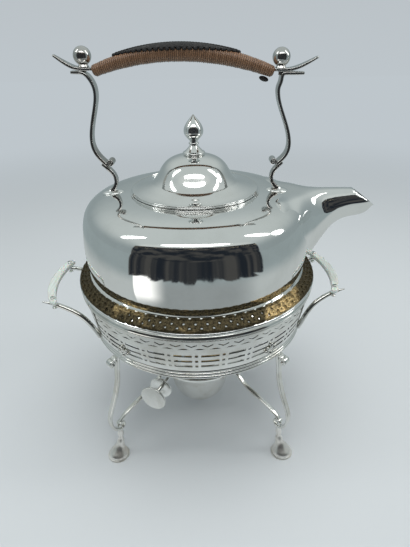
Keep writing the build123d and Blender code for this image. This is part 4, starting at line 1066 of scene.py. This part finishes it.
def gallery():
    """Pierced wall, reeded rim and base, and the burner's hoop."""
    wall = copied("gallery_wall", "pierced_wall", STAND_SILVER, 30)
    normals = []
    for face in wall.data.polygons:
        for k in face.vertices:
            spot = wall.data.vertices[k].co
            reach = hypot(spot.x, spot.y)
            level = cos(WALL_SLOPE) / reach
            out = np.array((spot.x * level, spot.y * level, -sin(WALL_SLOPE)))
            facing = float(np.dot(out, face.normal))
            normals.append(tuple(out * np.sign(facing)) if abs(facing) > 0.9 else tuple(face.normal))
    wall.data.normals_split_custom_set(normals)
    rim = [(98.4, 149.8), *arc((98.95, 150.4), 0.55, -80, 60, 6), *arc((96.35, 151.5), 3.3, 0, 80, 20),
           (96.2, 154.85), (95.6, 154.9), (95.4, 154.6), (95.4, 153.7), (97.3, 152.4), (97.4, 149.8)]
    plated("rim_moulding", [lathe(rim, FINE_RING)], STAND_SILVER, "stand", "gallery_rim")
    reeds = [(87.9, 110.2), (88.2, 110.0)]
    for k in range(3):
        reeds += arc((91.0, 111.4 + 2.8 * k), 1.38, -80, 80, 10)
    reeds += [(88.2, 118.4), (87.9, 118.1)]
    plated("base_reeds", [lathe(reeds, FINE_RING)], STAND_SILVER, "stand", "base_ring")
    hoop = rounded([(41.0, 61.8), (45.0, 61.8), (45.0, 65.0), (41.0, 65.0)], 0.7)
    plated("burner_hoop", [lathe(hoop)], STAND_SILVER, "stand", "burner_ring")


def side_handle(side, turn, shift):
    """Two curved arms and a bowed bone bar; shift is how far its end stands out more or less."""
    grip_low = 145.35
    shares = (0.0, 0.0, 0.15, 0.45, 0.75, 1.0, 1.0)
    for end, sign in (("front", -1), ("back", 1)):
        if side == "left":
            end = {"front": "back", "back": "front"}[end]
        points = [(84.4, 36.8, 113.0), (87.2, 37.3, 119.5), (90.8, 37.2, 127.0), (96.7, 36.1, 134.6),
                  (104.6, 34.2, 139.6), (116.0, 31.5, 143.7), (126.0, 29.2, 144.9)]
        points = [(x + share * shift, sign * y, z) for (x, y, z), share in zip(points, shares)]
        count = 48
        radii = [2.0 * min(1.0, 0.25 + 3.2 * (1 - k / (count - 1))) for k in range(count)]
        arm = tube(smooth_line(points, count), radii, 16)
        node = f"handle_arm_{side}_{end}"
        plated(f"arm_{side}_{end}", [moved(arm, turn)], STAND_SILVER, "stand", node)
    half_length, end_reach, middle_reach, thickness = 37.0, 114.4, 122.0, 4.2
    rings = []
    rows = 60
    for k in range(rows):
        y = -half_length + 2 * half_length * k / (rows - 1)
        bow = 1 - (y / half_length) ** 2
        centre = shift + end_reach + (middle_reach - end_reach) * bow
        width = 5.6 + 1.8 * bow
        close = min(1.0, (half_length - abs(y)) / 1.2)
        shrink = sqrt(1 - (1 - close) ** 2) * 0.6 + 0.4
        outline = section(thickness * shrink, width * shrink, 1.3, 6)
        rings += [(centre + across, y, grip_low + thickness / 2 + up) for across, up in outline]
    around = len(rings) // rows
    bar = rings, closed_ends(grid(rows, around), len(rings), around)
    make(f"bone_bar_{side}", [moved(bar, turn)], BONE, "stand", (f"side_grip_{side}",), 50)


def leaf_ornament(azimuth):
    """Cast leaf with five lobes and a round base, on the wall beside a leg."""
    shells = []
    lobes = ((-72, 4.2, 1.5), (-38, 5.0, 1.6), (0, 6.0, 1.7), (38, 5.0, 1.6), (72, 4.2, 1.5))
    for spread, length, wide in lobes:
        turn = Matrix.Rotation(WALL_SLOPE, 3, "Y") @ Matrix.Rotation(radians(spread), 3, "X")
        tip = turn @ Matrix.Translation((0, 0, length * 0.8)).to_translation()
        centre = (93.9 + tip.x, tip.y, 122.6 + tip.z)
        shells.append(ball(centre, (1.5, wide, length * 0.62), 8, 10, turn))
    shells.append(ball((94.0, 0, 121.6), (1.9, 2.1, 2.1), 8, 12))
    return [moved(shell, azimuth) for shell in shells]


def stand():
    """All pieces of the stand."""
    gallery()
    leaves = []
    for name, azimuth in LEG_AZIMUTHS.items():
        stand_leg(name, azimuth)
    for azimuth in (53.5, 126.5, 233.5, 306.5):
        leaves += leaf_ornament(azimuth)
    plated("leaf_ornaments", leaves, STAND_SILVER, "stand", "leg_leaves")
    side_handle("right", 3.0, -2.2)
    side_handle("left", 183.0, 2.6)
    copied("grip_rivets", "bar_rivets", STAND_SILVER)


# Lace band

LACE_COUNT = 72
LACE_LOW = (99.46, 157.9)
LACE_TOP = (90.6, 164.2)


def on_lace(around, share, lift):
    """A point of the lace from degrees round the kettle, share of its slope and height on it."""
    length = hypot(LACE_LOW[0] - LACE_TOP[0], LACE_TOP[1] - LACE_LOW[1])
    out_r, out_z = (LACE_TOP[1] - LACE_LOW[1]) / length, (LACE_LOW[0] - LACE_TOP[0]) / length
    radius = LACE_LOW[0] + (LACE_TOP[0] - LACE_LOW[0]) * share + out_r * lift
    height = LACE_LOW[1] + (LACE_TOP[1] - LACE_LOW[1]) * share + out_z * lift
    a = radians(around)
    return radius * cos(a), radius * sin(a), height


def lace_motif():
    """One repeat: two eyelets, cords along both scallops and small beads."""
    pitch = 360.0 / LACE_COUNT
    shells = []
    for centre, share in ((0.0, 0.60), (pitch / 2, 0.31)):
        eyelet = []
        for k in range(9):
            a = 2 * pi * k / 8
            eyelet.append(on_lace(centre + 0.78 * cos(a), share + 0.125 * sin(a), 0.80))
        shells.append(tube(eyelet, [0.36] * 9, 5))
    for low, high, lift in ((0.07, 0.22, 0.85), (0.93, 0.82, 0.85)):
        cord = []
        for k in range(7):
            cord.append(on_lace(pitch * (k / 6 - 0.5), low + (high - low) * (k / 3 - 1) ** 2, lift))
        shells.append(tube(cord, [0.42] * 7, 5))
    for around, share, size in ((0.0, 0.33, 0.55), (pitch / 2, 0.62, 0.55), (0.0, 0.86, 0.5)):
        shells.append(ball(on_lace(around, share, 0.8), (size, size, size), 4, 6))
    return shells


def lace():
    """Gilt openwork: the holed band and, on it, seventy-two raised repeats."""
    copied("lace_band", "lace_ground", GILT, 40)
    origin = np.array((95.0, 0.0, 160.0))
    unit = new_mesh("motif", [(np.asarray(points) - origin, faces) for points, faces in lace_motif()])
    tidy(unit, 60)
    ring = {"Count": LACE_COUNT, "Radius": origin[0] * MM, "Height": origin[2] * MM, "Start Angle": 0.0}
    repeated("lace_motifs", unit, repeat_tree("round_ring", RING_INPUTS), ring, GILT, "kettle")


# Burner

def burner():
    """Bowl, flange, cap, wick holder, wick and regulator."""
    groups = (
        (STAND_SILVER, "silver_plate", ("burner_font", "font_flange")),
        (BRASS, "bare_brass", ("burner_cap", "wick_housing", "wick_tube", "gland_nut")),
        (STAND_SILVER, "silver_plate", ("regulator_spindle",)),
        (BRASS, "bare_brass", ("wick_wheel",)),
        (KNOB_SILVER, "silver_plate", ("rear_disc", "knob_disc")),
        (COTTON, "cotton", ("wick",)),
    )
    for finish, slot, nodes in groups:
        for node in nodes:
            copied(node, f"{node}_finished", finish, 38)


kettle_body()
turned_pieces()
lid()
finial()
handle_metal()
cane_grip()
black_lacing()
stand()
lace()
burner()


bpy.context.scene.view_settings.view_transform = "Standard"
